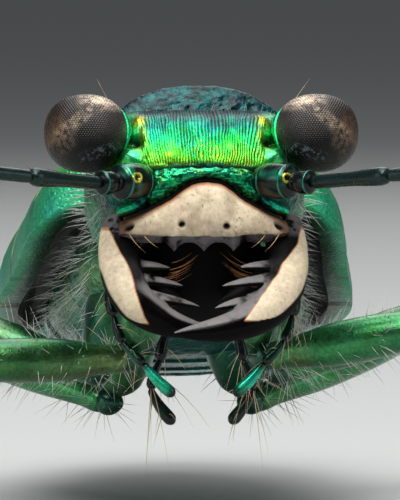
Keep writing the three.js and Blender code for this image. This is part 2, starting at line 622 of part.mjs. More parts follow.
function buildHead() {
  const eyes = SIDES.map(([, side]) => eye(side, GAP));
  const sockets = SIDES.map(([, side]) => {
    const [a, b] = SCAPE_PATH.map(([x, y, z]) => point(x * side, y, z));
    return segment(a, b, SOCKET, 12);
  });
  const jaws = SIDES.map(([name, side]) => blade(name, side, GAP));
  const seats = [...eyes, ...sockets, ...jaws, labrum(GAP), clypeus(WIDE_GAP)];
  const cut = seats.reduce((rest, seat) => rest.subtract(seat), capsule());
  const behind = BODY_AXIS_IN_HEAD.clone().negate().toArray();
  head.add(named("head", cut.trimByPlane(behind, GAP - COLLAR_DISTANCE), cuticle(GREEN)));
  const brow = sockets.reduce((rest, socket) => rest.subtract(socket), clypeus());
  head.add(named("clypeus", brow, cuticle(GREEN)));
  head.add(named("labrum", labrum(), cuticle(CREAM, 0.5, 0)));
  head.add(named("labium", labium(), cuticle(BLACK, 0.3, 0.1)));
  for (const [name, side] of SIDES) {
    head.add(named(`eye_${name}`, eye(side), cuticle(EYE_GREY, 0.25, 0.1)));
    head.add(named(`mandible_${name}`, mandible(name, side), cuticle(CREAM, 0.35, 0)));
    head.add(named(`maxilla_${name}`, maxilla(name, side), cuticle(BLACK, 0.3, 0.1)));
    head.add(named(`maxillary_palp_${name}`, palp(MAXILLARY_PATH, side), cuticle(DARK_GREEN)));
    head.add(named(`labial_palp_${name}`, palp(LABIAL_PATH, side), cuticle(DARK_GREEN)));
    head.add(named(`antenna_scape_${name}`, scape(side), cuticle(DARK_GREEN)));
    const shaft = antennaRun(0, SHAFT_JOINTS, side);
    head.add(named(`antenna_shaft_${name}`, shaft, cuticle(DARK_GREEN)));
    const whip = antennaRun(SHAFT_JOINTS, ANTENNA_JOINTS, side);
    head.add(named(`antenna_whip_${name}`, whip, cuticle(BROWN, 0.7, 0)));
  }
}

function buildBody() {
  const trunkRoom = [prothorax(GAP), thorax(GAP), abdomen(GAP)];
  body.add(named("prothorax", prothorax(), cuticle(GREEN)));
  body.add(named("thorax", thorax(), cuticle(COPPER_GREEN)));
  body.add(named("abdomen", abdomen(), cuticle(COPPER_GREEN)));
  body.add(named("scutellum", scutellum(), cuticle(GREEN)));
  for (const [name, side] of SIDES) {
    const shell = elytron(side).subtract(scutellum(WIDE_GAP));
    body.add(named(`elytron_${name}`, shell, cuticle(GREEN, 0.55, 0.4)));
    for (const place of PLACES) {
      const hip = coxa(legOf(place, name), side);
      const clear = trunkRoom.reduce((rest, trunkPiece) => rest.subtract(trunkPiece), hip);
      body.add(named(`coxa_${place}_${name}`, clear, cuticle(COPPER_GREEN)));
    }
  }
}

function buildLegs() {
  const legs = new THREE.Group();
  body.updateMatrixWorld(true);
  for (const [name, side] of SIDES) {
    for (const place of PLACES) {
      const leg = legOf(place, name);
      const root = mirrored(leg.root, side).applyMatrix4(body.matrixWorld);
      const [knee, ankle, tip] = [leg.knee, leg.ankle, leg.tip].map((p) => mirrored(p, side));
      legs.add(named(`femur_${place}_${name}`, femur(root, knee), cuticle(COPPER_GREEN)));
      legs.add(named(`tibia_${place}_${name}`, tibia(knee, ankle), cuticle(COPPER_GREEN)));
      legs.add(named(`tarsus_${place}_${name}`, tarsus(ankle, tip), cuticle(COPPER_GREEN)));
    }
  }
  return legs;
}

buildHead();
buildBody();

const beetle = new THREE.Group();
beetle.add(head, body, buildLegs());
beetle.position.y = -FORWARD_SHIFT;

export default beetle;
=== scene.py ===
import math

import bpy
import numpy as np
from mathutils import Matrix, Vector


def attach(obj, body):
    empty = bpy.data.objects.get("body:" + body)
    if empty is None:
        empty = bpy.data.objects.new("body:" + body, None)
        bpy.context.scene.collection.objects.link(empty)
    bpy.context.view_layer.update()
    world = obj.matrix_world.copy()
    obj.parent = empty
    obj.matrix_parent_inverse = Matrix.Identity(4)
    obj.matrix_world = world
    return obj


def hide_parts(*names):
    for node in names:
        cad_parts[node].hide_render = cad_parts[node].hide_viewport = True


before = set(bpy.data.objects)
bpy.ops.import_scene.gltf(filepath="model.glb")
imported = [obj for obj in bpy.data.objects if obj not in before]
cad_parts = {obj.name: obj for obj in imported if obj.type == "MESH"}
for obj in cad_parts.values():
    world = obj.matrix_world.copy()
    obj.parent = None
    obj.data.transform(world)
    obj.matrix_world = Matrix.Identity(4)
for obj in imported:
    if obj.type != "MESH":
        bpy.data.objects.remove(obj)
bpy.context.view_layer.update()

# Sizes are in millimetres until a piece is made. The beetle faces -Y and its own left is +X.
MM = 0.001
HEAD_TILT = 4  # degrees that the face looks up
BODY_PITCH = 16  # degrees that the body rises towards the head
HEAD_HEIGHT = 4.9
FORWARD_SHIFT = 7.0
COLLAR = (0, 1.5, 0.5)  # where the head meets the prothorax, in the head's frame
PROTHORAX_LENGTH = 2.6
PICTURE = (400, 500)  # pixels
SIDES = (("left", 1), ("right", -1))
PLACES = ("front", "middle", "hind")
rng = np.random.default_rng(7)


class Place:
    """A frame turned about X, with its origin in millimetres."""

    def __init__(self, tilt, origin):
        a = -math.radians(tilt)
        self.turn = np.array([[1, 0, 0], [0, math.cos(a), -math.sin(a)], [0, math.sin(a), math.cos(a)]])
        self.origin = np.array(origin, float)

    def world(self, points):
        return np.asarray(points, float) @ self.turn.T + self.origin


LEAN = math.radians(BODY_PITCH - HEAD_TILT)
WAIST = np.array(COLLAR) + PROTHORAX_LENGTH * np.array([0, math.cos(LEAN), -math.sin(LEAN)])
HEAD = Place(HEAD_TILT, (0, -FORWARD_SHIFT, HEAD_HEIGHT))
BODY = Place(BODY_PITCH, HEAD.world(WAIST))
GROUND = Place(0, (0, -FORWARD_SHIFT, 0))
WORLD = Place(0, (0, 0, 0))


# Numbers and noise
def profile(*pairs):
    """A smooth function through a few (position, value) pairs."""
    x, y = np.array(pairs, float).T
    last = len(x) - 1
    before = np.maximum(np.arange(last + 1) - 1, 0)
    after = np.minimum(np.arange(last + 1) + 1, last)
    slope = (y[after] - y[before]) / (x[after] - x[before])

    def at(q):
        q = np.clip(q, x[0], x[-1])
        k = np.clip(np.searchsorted(x, q, side="right") - 1, 0, last - 1)
        span = x[k + 1] - x[k]
        t = (q - x[k]) / span
        start = (2 * t**3 - 3 * t**2 + 1) * y[k] + (t**3 - 2 * t**2 + t) * span * slope[k]
        return start + (3 * t**2 - 2 * t**3) * y[k + 1] + (t**3 - t**2) * span * slope[k + 1]

    return at


def held(x):
    """x, kept from 0 to 1."""
    return np.clip(x, 0, 1)


def ease(x, low, high):
    """0 below low and 1 above high, or the reverse where high is the smaller."""
    t = held((x - low) / (high - low))
    return t * t * (3 - 2 * t)


CELL_HASH = (73856093, 19349663, 83492791)
SCRAMBLE = 1274126177
SEED_STEP = 31.7
OCTAVES = ((0.6, 1), (0.3, 2.1), (0.2, 4.3))  # share of each, and how many times finer it is


def noise(points, size, seed):
    """Smooth random values from -1 to 1 with features of the given size."""
    q = np.asarray(points, float) / size + SEED_STEP * seed
    cell = np.floor(q).astype(np.int64)
    part = q - cell
    part = part * part * (3 - 2 * part)
    total = np.zeros(q.shape[:-1])
    for corner in np.ndindex(2, 2, 2):
        n = ((cell + corner) * CELL_HASH).sum(-1)
        n = ((n ^ (n >> 13)) * SCRAMBLE) & 0x7FFFFFFF
        value = ((n ^ (n >> 15)) & 0xFFFF) / 32767.5 - 1
        total += value * np.prod(np.where(corner, part, 1 - part), axis=-1)
    return total


def rough_noise(points, size, seed):
    """Noise with finer noise over it."""
    return sum(share * noise(points, size / finer, seed + k) for k, (share, finer) in enumerate(OCTAVES))


def unit(v):
    return v / np.maximum(np.linalg.norm(v, axis=-1, keepdims=True), 1e-12)


def mixed(a, b, share):
    share = np.asarray(share)[..., None]
    return np.asarray(a) * (1 - share) + np.asarray(b) * share


def layered(colour, *layers):
    """A colour under layers, each a tint and its share, which is held from 0 to 1."""
    for tint, share in layers:
        colour = mixed(colour, tint, held(share))
    return colour


def tinted(colour, rough):
    """A colour with its roughness as a fourth value."""
    return np.concatenate([colour, np.broadcast_to(rough, colour.shape[:-1])[..., None]], axis=-1)


def across_noise(x, size, seed):
    """Noise that changes across the face alone."""
    return noise(stacked(x, 0, 0), size, seed)


def stacked(*parts):
    """Values side by side at each point. A part may also be one number, or one for each row or column."""
    return np.stack(np.broadcast_arrays(*parts), axis=-1)


def squared_off(wave, power):
    """A sine or cosine pushed outward, so that the circle it draws becomes a rounded square."""
    return np.sign(wave) * np.abs(wave) ** power


def spot(x, z, x0, z0, rx, rz):
    """A soft round patch, 1 in its middle."""
    return np.exp(-(((x - x0) / rx) ** 2) - ((z - z0) / rz) ** 2)


# Meshes
class Shape:
    """Points in millimetres, faces of three and four corners, and a colour with a roughness at each point."""

    def __init__(self, points, quads, tris=(), tint=None):
        self.points = np.asarray(points, float).reshape(-1, 3)
        self.quads = np.asarray(quads, int).reshape(-1, 4)
        self.tris = np.asarray(tris, int).reshape(-1, 3)
        self.tint = tint
        self.uv = None

    def painted(self, *tint):
        """Gives every point one colour and roughness."""
        self.tint = np.tile(np.array(tint, float), (len(self.points), 1))
        return self

    def outward(self):
        corners = np.concatenate([self.tris, self.quads[:, :3], self.quads[:, [0, 2, 3]]])
        a, b, c = (self.points[corners[:, k]] for k in range(3))
        if (a * np.cross(b, c)).sum() < 0:
            self.quads, self.tris = self.quads[:, ::-1], self.tris[:, ::-1]
        return self

    def mirrored(self):
        return Shape(self.points * (-1, 1, 1), self.quads[:, ::-1], self.tris[:, ::-1], self.tint)


def together(shapes):
    starts = np.cumsum([0] + [len(s.points) for s in shapes])
    joined = Shape(
        np.concatenate([s.points for s in shapes]),
        np.concatenate([s.quads + n for s, n in zip(shapes, starts)]),
        np.concatenate([s.tris + n for s, n in zip(shapes, starts)]),
        np.concatenate([s.tint for s in shapes]),
    )
    if all(s.uv is not None for s in shapes):
        joined.uv = np.concatenate([s.uv for s in shapes])
    return joined


def skin(rings, tint=None):
    """A closed skin over rings of points (rows, columns, 3), with a fan over each end."""
    rows, columns = rings.shape[:2]
    here = np.arange(rows * columns).reshape(rows, columns)
    beside = np.roll(here, -1, axis=1)
    quads = stacked(here[:-1], beside[:-1], beside[1:], here[1:])
    hub = rows * columns
    first = stacked(hub, beside[0], here[0])
    last = stacked(hub + 1, here[-1], beside[-1])
    points = np.concatenate([rings.reshape(-1, 3), rings[[0, -1]].mean(axis=1)])
    if tint is not None:
        tint = np.concatenate([tint.reshape(-1, 4), tint[[0, -1]].mean(axis=1)])
    return Shape(points, quads, np.concatenate([first, last]), tint).outward()


def normals_of(rings):
    across = np.roll(rings, -1, axis=1) - np.roll(rings, 1, axis=1)
    normals = unit(np.cross(across, np.gradient(rings, axis=0)))
    outward = rings - rings.mean(axis=1, keepdims=True)
    return normals * np.sign((normals * outward).sum())


def raised(rings, height):
    return rings + normals_of(rings) * height[..., None]


def curve(points, count):
    """A smooth line through a few points, evenly divided."""
    points = np.asarray(points, float)
    reach = np.concatenate([[0], np.cumsum(np.linalg.norm(np.diff(points, axis=0), axis=1))])
    at = np.linspace(0, 1, count) * reach[-1]
    return stacked(*(profile(*zip(reach, points[:, k]))(at) for k in range(3)))


def framed(path):
    """Two directions across a path at each of its points, without twist."""
    along = unit(np.gradient(path, axis=0))
    level = np.cross((0, 0, 1.0), along[0])
    across = unit(level if np.linalg.norm(level) > 0.1 else np.array([1.0, 0, 0]))
    kept = []
    for direction in along:
        across = unit(across - across.dot(direction) * direction)
        kept.append(across)
    kept = np.array(kept)
    return kept, np.cross(along, kept)


def ring_round(across, deep, sides, flat=1.0):
    """A ring in the plane of each two directions, squashed by flat along the second."""
    a = 2 * math.pi * np.arange(sides) / sides
    return np.cos(a)[None, :, None] * across[:, None] + flat * np.sin(a)[None, :, None] * deep[:, None]


def tube(path, radii, sides, flat=1.0, roll=0.0):
    """Rings round a path. flat squashes them in their second direction, after a roll in degrees."""
    across, deep = framed(path)
    c, s = math.cos(math.radians(roll)), math.sin(math.radians(roll))
    across, deep = c * across + s * deep, c * deep - s * across
    radii = np.broadcast_to(radii, len(path))[:, None, None]
    return path[:, None] + radii * ring_round(across, deep, sides, flat)


def tapered(points, width, rows, sides, flat=1.0, roll=0.0):
    """Rings along a smooth line, with a width for each share of its length."""
    return tube(curve(points, rows), width(np.linspace(0, 1, rows)), sides, flat, roll)


LIMB_STEPS = 400  # of the smooth line that a limb's rows are taken from


def limb(points, widths, rows, sides, flat=1.0, caps=(1, 1)):
    """Rings of a limb joint: widths are (share of length, radius) pairs, and caps round its two ends."""
    share = (1 - np.cos(np.pi * np.linspace(0, 1, rows))) / 2
    length = np.linalg.norm(np.diff(np.asarray(points, float), axis=0), axis=1).sum()
    dense = curve(points, LIMB_STEPS)
    at = share * (LIMB_STEPS - 1)
    low = np.minimum(at.astype(int), LIMB_STEPS - 2)
    path = dense[low] + (dense[low + 1] - dense[low]) * (at - low)[:, None]
    radii = profile(*widths)(share)
    for cap, away in ((caps[0], share), (caps[1], 1 - share)):
        reach = held(away * length / (cap * radii.max()))
        radii = radii * np.sqrt(np.clip(1 - (1 - reach) ** 2, 0.0004, 1))
    return tube(path, radii, sides, flat)


MELT_SMOOTHING = 3


def remeshed(shapes, voxel):
    """Melts overlapping shapes into one skin."""
    bare = [Shape(s.points, s.quads, s.tris, np.zeros((len(s.points), 4))) for s in shapes]
    made = mesh_of("melt", together(bare))
    holder = bpy.data.objects.new("melt", made)
    bpy.context.scene.collection.objects.link(holder)
    remesh = holder.modifiers.new("remesh", "REMESH")
    remesh.mode = "VOXEL"
    remesh.voxel_size = voxel
    soften = holder.modifiers.new("soften", "SMOOTH")
    soften.iterations = MELT_SMOOTHING
    melted = holder.evaluated_get(bpy.context.evaluated_depsgraph_get()).to_mesh()
    points = np.empty(len(melted.vertices) * 3)
    melted.vertices.foreach_get("co", points)
    corners = np.empty(len(melted.loops), int)
    melted.loops.foreach_get("vertex_index", corners)
    shape = Shape(points, corners)
    bpy.data.objects.remove(holder)
    bpy.data.meshes.remove(made)
    return shape


def vertex_normals(shape):
    normals = np.zeros_like(shape.points)
    a, b, c, d = (shape.points[shape.quads[:, k]] for k in range(4))
    faces = np.cross(c - a, d - b)
    for k in range(4):
        np.add.at(normals, shape.quads[:, k], faces)
    return unit(normals)


def mesh_of(name, shape, scale=1.0, place=WORLD):
    mesh = bpy.data.meshes.new(name)
    points = place.world(shape.points) * scale
    mesh.vertices.add(len(points))
    mesh.vertices.foreach_set("co", points.ravel())
    corners = np.concatenate([shape.quads.ravel(), shape.tris.ravel()])
    starts = np.concatenate(
        [np.arange(len(shape.quads)) * 4, len(shape.quads) * 4 + np.arange(len(shape.tris)) * 3]
    )
    mesh.loops.add(len(corners))
    mesh.loops.foreach_set("vertex_index", corners)
    mesh.polygons.add(len(starts))
    mesh.polygons.foreach_set("loop_start", starts)
    mesh.polygons.foreach_set("use_smooth", np.ones(len(starts), bool))
    mesh.update(calc_edges=True)
    if shape.uv is not None:
        layer = mesh.uv_layers.new(name="OFBake")
        layer.data.foreach_set("uv", shape.uv[corners].ravel())
    return mesh


def piece(name, shape, place, material, slot, *nodes):
    """Makes a piece of the beetle that rides on its one body and stands for the CAD nodes named."""
    mesh = mesh_of(name, shape, MM, place)
    tint = mesh.color_attributes.new("tint", "FLOAT_COLOR", "POINT")
    tint.data.foreach_set("color", np.clip(shape.tint, 0, 1).ravel())
    made = bpy.data.objects.new(name, mesh)
    made.data.materials.append(material)
    bpy.context.scene.collection.objects.link(made)
    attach(made, "root")
    if nodes:
        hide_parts(*nodes)
    return made


# Hairs
HAIR_STATIONS = 5
HAIR_SIDES = 3
HAIR_PATCH = 0.003  # width of one hair's patch on the bake map
MAP_MIDDLE = (0.5, 0.5)
COAT_RADIUS = 0.0055  # of the white hairs on the legs, prothorax and thorax


def hairs(roots, directions, lengths, radius, tint, sag=0.0, curl=(0, 0, 0), uv=MAP_MIDDLE):
    """Tapered hairs, each three-sided. sag bends them down and curl sideways, as shares of their length."""
    roots, directions = np.asarray(roots, float), unit(np.asarray(directions, float))
    count = len(roots)
    lengths = np.broadcast_to(lengths, count)[:, None, None]
    t = np.linspace(0, 1, HAIR_STATIONS)[None, :, None]
    bend = np.broadcast_to(curl, (count, 3))[:, None] - sag * np.array([0, 0, 1])
    line = roots[:, None] + lengths * (t * directions[:, None] + t**2 * bend)
    across = unit(np.cross(directions, (0.31, 0.83, 0.46)))
    ring = ring_round(across, np.cross(directions, across), HAIR_SIDES)
    width = radius * (1 - 0.92 * t**1.3)
    points = line[:, :, None] + width[..., None] * ring[:, None]
    per_hair = HAIR_STATIONS * HAIR_SIDES
    here = np.arange(per_hair).reshape(HAIR_STATIONS, HAIR_SIDES)
    beside = np.roll(here, -1, axis=1)
    quads = stacked(here[:-1], beside[:-1], beside[1:], here[1:]).reshape(-1, 4)
    tris = np.array([here[0][::-1], here[-1]])
    offset = (np.arange(count) * per_hair)[:, None, None]
    shape = Shape(points, quads[None] + offset, tris[None] + offset).painted(*tint)
    patch = stacked(np.linspace(0, 1, HAIR_STATIONS)[:, None], np.linspace(0, 1, HAIR_SIDES))
    shape.uv = (np.broadcast_to(uv, (count, 2))[:, None, None] + HAIR_PATCH * patch).reshape(-1, 2)
    return shape


def anywhere(points, normals):
    return np.ones(normals.shape[:-1], bool)


def grown(rings, count, keep, lean, lengths, radius, tint, sag=0.0):
    """Hairs rooted on a skin's rings where keep(points, normals) allows, leaning along a direction."""
    normals = normals_of(rings)
    allowed = np.argwhere(keep(rings, normals))
    picked = allowed[rng.integers(0, len(allowed), count)]
    out = normals[picked[:, 0], picked[:, 1]]
    roots = rings[picked[:, 0], picked[:, 1]] - 0.01 * out
    ways = out + np.asarray(lean) + rng.normal(0, 0.16, (count, 3))
    return hairs(roots, ways, rng.uniform(*lengths, count), radius, tint, sag, uv=picked / rings.shape[:2])


# Materials
class Finish:
    """A Principled material whose colour and roughness start from the piece's tint."""

    def __init__(self, name, **shader):
        self.material = bpy.data.materials.new(name)
        self.material.use_nodes = True
        self.tree = self.material.node_tree
        self.shader = self.tree.nodes["Principled BSDF"]
        for socket, value in shader.items():
            self.shader.inputs[socket.replace("_", " ")].default_value = value
        self.where = self.add(
            "ShaderNodeMapping",
            {"Vector": self.add("ShaderNodeTexCoord").outputs["Object"], "Scale": (1 / MM,) * 3}
        )
        self.tint = self.add("ShaderNodeAttribute", attribute_name="tint")

    def add(self, kind, inputs=None, **settings):
        node = self.tree.nodes.new(kind)
        for key, value in settings.items():
            setattr(node, key, value)
        for key, value in (inputs or {}).items():
            if isinstance(value, bpy.types.NodeSocket):
                self.tree.links.new(value, node.inputs[key])
            else:
                node.inputs[key].default_value = value
        return node

    def noise(self, size, detail=4.0):
        """Noise from 0 to 1 with features of a size in millimetres."""
        settings = {"Vector": self.where.outputs[0], "Scale": 1 / size, "Detail": detail}
        return self.add("ShaderNodeTexNoise", settings).outputs["Fac"]

    def cells(self, size):
        """Distance from the middle of round cells of a size in millimetres."""
        settings = {"Vector": self.where.outputs[0], "Scale": 1 / size}
        return self.add("ShaderNodeTexVoronoi", settings).outputs["Distance"]

    def ranged(self, value, low, high, to_low, to_high):
        settings = {"Value": value, "From Min": low, "From Max": high, "To Min": to_low, "To Max": to_high}
        return self.add("ShaderNodeMapRange", settings).outputs["Result"]

    def joined(self, operation, a, b):
        return self.add("ShaderNodeMath", {0: a, 1: b}, operation=operation).outputs[0]

    def colour(self, hue, value):
        """Shifts the tint's hue and brightness by two sockets."""
        settings = {"Hue": hue, "Value": value, "Color": self.tint.outputs["Color"]}
        shifted = self.add("ShaderNodeHueSaturation", settings)
        self.tree.links.new(shifted.outputs["Color"], self.shader.inputs["Base Color"])

    def roughness(self, change):
        total = self.joined("ADD", self.tint.outputs["Alpha"], change)
        self.tree.links.new(total, self.shader.inputs["Roughness"])

    def bump(self, height, depth):
        settings = {"Height": height, "Strength": 1.0, "Distance": depth * MM}
        node = self.add("ShaderNodeBump", settings)
        self.tree.links.new(node.outputs["Normal"], self.shader.inputs["Normal"])


def cuticle(name, metallic, grain, depth, hue=0.03, pits=None, coat=0.2):
    """Metallic cuticle: its hue drifts from place to place, over a fine grain and, where asked for, pits."""
    finish = Finish(name, Metallic=metallic, Coat_Weight=coat, Coat_Roughness=0.12)
    drift = finish.noise(0.35, 3.0)
    speckle = finish.noise(grain * 1.6, 2.0)
    turned = finish.ranged(drift, 0.3, 0.7, 0.5 - hue, 0.5 + hue)
    finish.colour(turned, finish.ranged(speckle, 0.3, 0.7, 0.72, 1.25))
    finish.roughness(finish.ranged(finish.noise(grain * 3), 0.3, 0.7, -0.05, 0.07))
    height = finish.noise(grain, 3.0)
    if pits:
        height = finish.joined("ADD", height, finish.ranged(finish.cells(pits), 0.0, 0.5, -1.6, 0.0))
    finish.bump(height, depth)
    return finish.material


def horn(name, grain, depth, coat, specular=0.5):
    """Smooth horn with faint mottling."""
    finish = Finish(name, Coat_Weight=coat, Coat_Roughness=0.1, Specular_IOR_Level=specular)
    finish.colour(
        finish.ranged(finish.noise(0.2), 0.3, 0.7, 0.49, 0.51),
        finish.ranged(finish.noise(grain * 4), 0.3, 0.7, 0.86, 1.1)
    )
    finish.roughness(finish.ranged(finish.noise(grain * 2), 0.3, 0.7, -0.05, 0.06))
    finish.bump(finish.noise(grain, 3.0), depth)
    return finish.material


FACE_GREEN = cuticle("face_green", 0.9, 0.02, 0.003, hue=0.02, coat=0.06)
TRUNK_GREEN = cuticle("trunk_green", 0.9, 0.045, 0.009, hue=0.02, pits=0.08)
SHELL_GREEN = cuticle("shell_green", 0.7, 0.03, 0.006, hue=0.02, pits=0.06, coat=0.05)
LEG_COPPER = cuticle("leg_copper", 0.9, 0.03, 0.005, hue=0.02)
DARK_GREEN = cuticle("dark_green", 0.6, 0.03, 0.002, hue=0.03, coat=0.1)
CREAM = horn("cream_horn", 0.02, 0.0012, coat=0.0, specular=0.07)
BLACK = horn("black_horn", 0.03, 0.001, coat=0.05, specular=0.3)
MOUTH = horn("mouth_black", 0.03, 0.001, coat=0.0, specular=0.12)
EYE = horn("eye_horn", 0.05, 0.0002, coat=0.04, specular=0.24)
FEELER = horn("feeler_brown", 0.02, 0.003, coat=0.0)
HAIR = horn("hair", 0.02, 0.0002, coat=0.1)

PALE_HAIR = (0.75, 0.7, 0.55, 0.4)
WHITE_HAIR = (0.6, 0.6, 0.56, 0.45)
GOLD_HAIR = (0.55, 0.42, 0.24, 0.35)
BROWN_HAIR = (0.3, 0.21, 0.13, 0.35)
RUST_HAIR = (0.46, 0.2, 0.06, 0.3)
AMBER_HAIR = (0.5, 0.32, 0.12, 0.3)
DOWN_HAIR = (0.3, 0.24, 0.18, 0.5)
DARK_HAIR = (0.05, 0.04, 0.03, 0.4)
BLACK_HAIR = (0.004, 0.004, 0.004, 0.3)

# Head
HEAD_LOW = -0.42
HEAD_HIGH = 1.17
HEAD_POWER = 2.7
CAPSULE_BACK = 2.1
HEAD_ROWS = 170
TOP_ROWS = 12  # that round the top off
FRONT_COLUMNS = 560
BACK_COLUMNS = 80
capsule_half = profile(
    (HEAD_LOW, 0.98), (-0.2, 1.2), (0.1, 1.3), (0.35, 1.3), (0.6, 1.2), (0.85, 1.1), (1.05, 1.05),
    (1.12, 1.0), (HEAD_HIGH, 0.82)
)
capsule_front = profile(
    (HEAD_LOW, 0.62), (-0.2, 0.5), (0.1, 0.38), (0.42, 0.3), (0.6, 0.36), (0.85, 0.54), (1.05, 0.8),
    (HEAD_HIGH, 1.1)
)
STRIA_PERIOD = 0.037
STRIA_DEPTH = 0.013
FACE_SHINE = 0.74  # share of the face colours that is kept under the studio light
FACE_HUES = (  # red, green and blue at each height
    profile((0.4, 0.14), (0.52, 0.12), (0.64, 0.05), (0.8, 0.008), (1.0, 0.002), (1.15, 0.001)),
    profile((0.4, 0.42), (0.52, 0.6), (0.66, 0.74), (0.85, 0.66), (1.0, 0.4), (1.15, 0.1)),
    profile((0.4, 0.012), (0.52, 0.02), (0.66, 0.07), (0.82, 0.18), (1.0, 0.26), (1.15, 0.12)),
)


def capsule_rings():
    z = np.concatenate([np.linspace(HEAD_LOW, HEAD_HIGH, HEAD_ROWS), np.full(TOP_ROWS, HEAD_HIGH)])
    closing = np.concatenate([np.zeros(HEAD_ROWS), np.linspace(0.08, 0.97, TOP_ROWS)])
    shrink = np.sqrt(1 - closing**2)
    half = capsule_half(z) * shrink
    front = capsule_front(z)
    middle = (front + CAPSULE_BACK) / 2
    depth = (CAPSULE_BACK - front) / 2 * shrink
    z = z - 0.05 * closing
    t_front = np.sin(np.pi / 2 * np.linspace(-1, 1, FRONT_COLUMNS))
    t_back = np.sin(np.pi / 2 * np.linspace(1, -1, BACK_COLUMNS + 2))[1:-1]
    t = np.concatenate([t_front, t_back])
    facing = np.concatenate([-np.ones(FRONT_COLUMNS), np.ones(BACK_COLUMNS)])
    bulge = facing * (1 - np.abs(t) ** HEAD_POWER) ** (1 / HEAD_POWER)
    x = half[:, None] * t
    y = middle[:, None] + depth[:, None] * bulge
    return stacked(x, y, z[:, None])


def head_relief(p):
    """Height of the face's ridges, pits and knobs, and how deep in a groove each point lies."""
    x, y, z = np.moveaxis(p, -1, 0)
    side = np.abs(x)
    front = ease(y, 1.3, 1.05)
    flat = stacked(x, z * 0.35, 0)
    fine = stacked(x, z * 0.8, 0)
    low_edge = 0.41 + 0.05 * across_noise(x, 0.12, 12)
    ridged = ease(side, 0.84, 0.7) * ease(z, low_edge, low_edge + 0.05) * ease(y, 1.7, 1.4)
    spread = 1 + 0.2 * (z - 0.8)
    phase = x / spread / STRIA_PERIOD + 1.1 * noise(flat, 0.3, 3) + 0.5 * noise(fine, 0.09, 4)
    groove = held(1.1 - np.abs(np.sin(np.pi * phase)) ** 0.5 + 0.35 * noise(fine, 0.08, 13))
    height = -STRIA_DEPTH * groove * ridged
    height += 0.055 * spot(side + 0.6 * (z - 1.0), z, 0.8, 1.01, 0.075, 0.065) * front
    height -= 0.1 * spot(side, z, 0.9, 0.75, 0.12, 0.07) * front
    height += 0.09 * spot(side, z, 0.93, 0.55, 0.13, 0.1) * front
    height -= 0.1 * spot(side, z, 0.95, 0.24, 0.22, 0.14) * front
    height += 0.02 * ease(np.abs(side - 0.74), 0.06, 0.0) * ease(z, 0.5, 0.62) * ease(z, 0.98, 0.9) * front
    grainy = 1 - ease(side, 1.0, 0.85) * ease(z, 0.35, 0.42) * front
    height += 0.009 * rough_noise(p, 0.05, 9) * grainy + 0.003 * rough_noise(p, 0.04, 11)
    return height, groove * ridged


def head_tint(p, groove):
    x, y, z = np.moveaxis(p, -1, 0)
    side = np.abs(x)
    front = ease(y, 1.4, 1.15)
    top = ease(z, 1.16, 1.04)
    streak = p * (1, 1, 0.3)
    wander = z + 0.1 * noise(p, 0.25, 5) + 0.09 * noise(streak, 0.045, 6) + 0.05 * side
    gold = ease(noise(streak, 0.04, 15) + 0.4 * noise(p, 0.02, 16), 0.3, 0.8) * ease(z, 0.8, 0.5)
    speck = ease(noise(p * (1, 1, 0.6), 0.024, 17), 0.5, 0.75)
    orbit = ease(side, 0.76, 0.86) * ease(z, 0.44, 0.52)
    knob = side + 0.6 * (z - 1.0)
    # The cheeks are dark teal with painted glints in their grain.
    lit = held(rough_noise(p, 0.05, 21))[..., None]
    cheek = np.array([0.002, 0.05, 0.04]) + lit * np.array([0.01, 0.3, 0.18])
    colour = layered(
        stacked(*(hue(wander) for hue in FACE_HUES)),
        ((0.6, 0.46, 0.01), 0.38 * gold),
        ((0.5, 0.1, 0.01), 0.45 * speck * ease(z, 1.05, 0.65)),
        ((0.01, 0.7, 0.22), 0.9 * orbit),
        ((0.42, 0.66, 0.02), 0.8 * held(1.2 * spot(side, z, 0.76, 0.82, 0.05, 0.12))),
        ((0.4, 0.62, 0.03), 1.3 * spot(knob, z, 0.8, 1.0, 0.08, 0.07)),
        ((0.62, 0.34, 0.03), 1.2 * spot(knob, z, 0.81, 1.03, 0.042, 0.036)),
        ((0.03, 0.022, 0.003), 0.9 * held(1.4 * spot(side, z, 0.89, 0.755, 0.09, 0.05))),
        ((0.3, 0.55, 0.02), 0.7 * spot(side, z, 0.84, 0.67, 0.1, 0.05)),
        ((0.06, 0.6, 0.16), 1.3 * spot(side, z, 0.94, 0.55, 0.12, 0.09)),
        (cheek, ease(z + 0.1 * side, 0.55, 0.43)),
    )
    back = mixed((0.0, 0.03, 0.035), (0.006, 0.17, 0.11), ease(y, 1.3, 1.6))
    # Painted shade: the head's skin inside the mouth, behind the jaws, turns near black.
    mouth = ease(z, -0.02, -0.1) * ease(side, 1.12, 1.04)
    colour = mixed(mixed(back, colour, front * top), (0.002, 0.002, 0.002), mouth)
    # Painted shade: the colour is darkened in the grooves of the striae.
    colour = FACE_SHINE * colour * (1 - 0.94 * groove[..., None])
    rough = 0.34 - 0.06 * orbit + 0.3 * np.maximum(1 - front, 1 - top) + 0.3 * mouth
    return tinted(colour, rough)


# Rims of the eyes, from the upper corner of the inner edge to below its middle
BROW_TURN = np.radians(np.linspace(46, -40, 9))
BROW_WIDTHS = ((0, 0.012), (0.18, 0.038), (0.45, 0.05), (0.75, 0.034), (1, 0.012))

EYE_BRISTLE_ROOT = (1.04, 1.36, 1.02)  # behind the inner edge of each eye
EYE_BRISTLE_WAYS = ((0.72, 0.1, 1), (-0.5, 0.1, 1))  # left, then right
EYE_BRISTLE_LENGTHS = (0.7, 0.64)  # to just above the eyes, about half of the real length


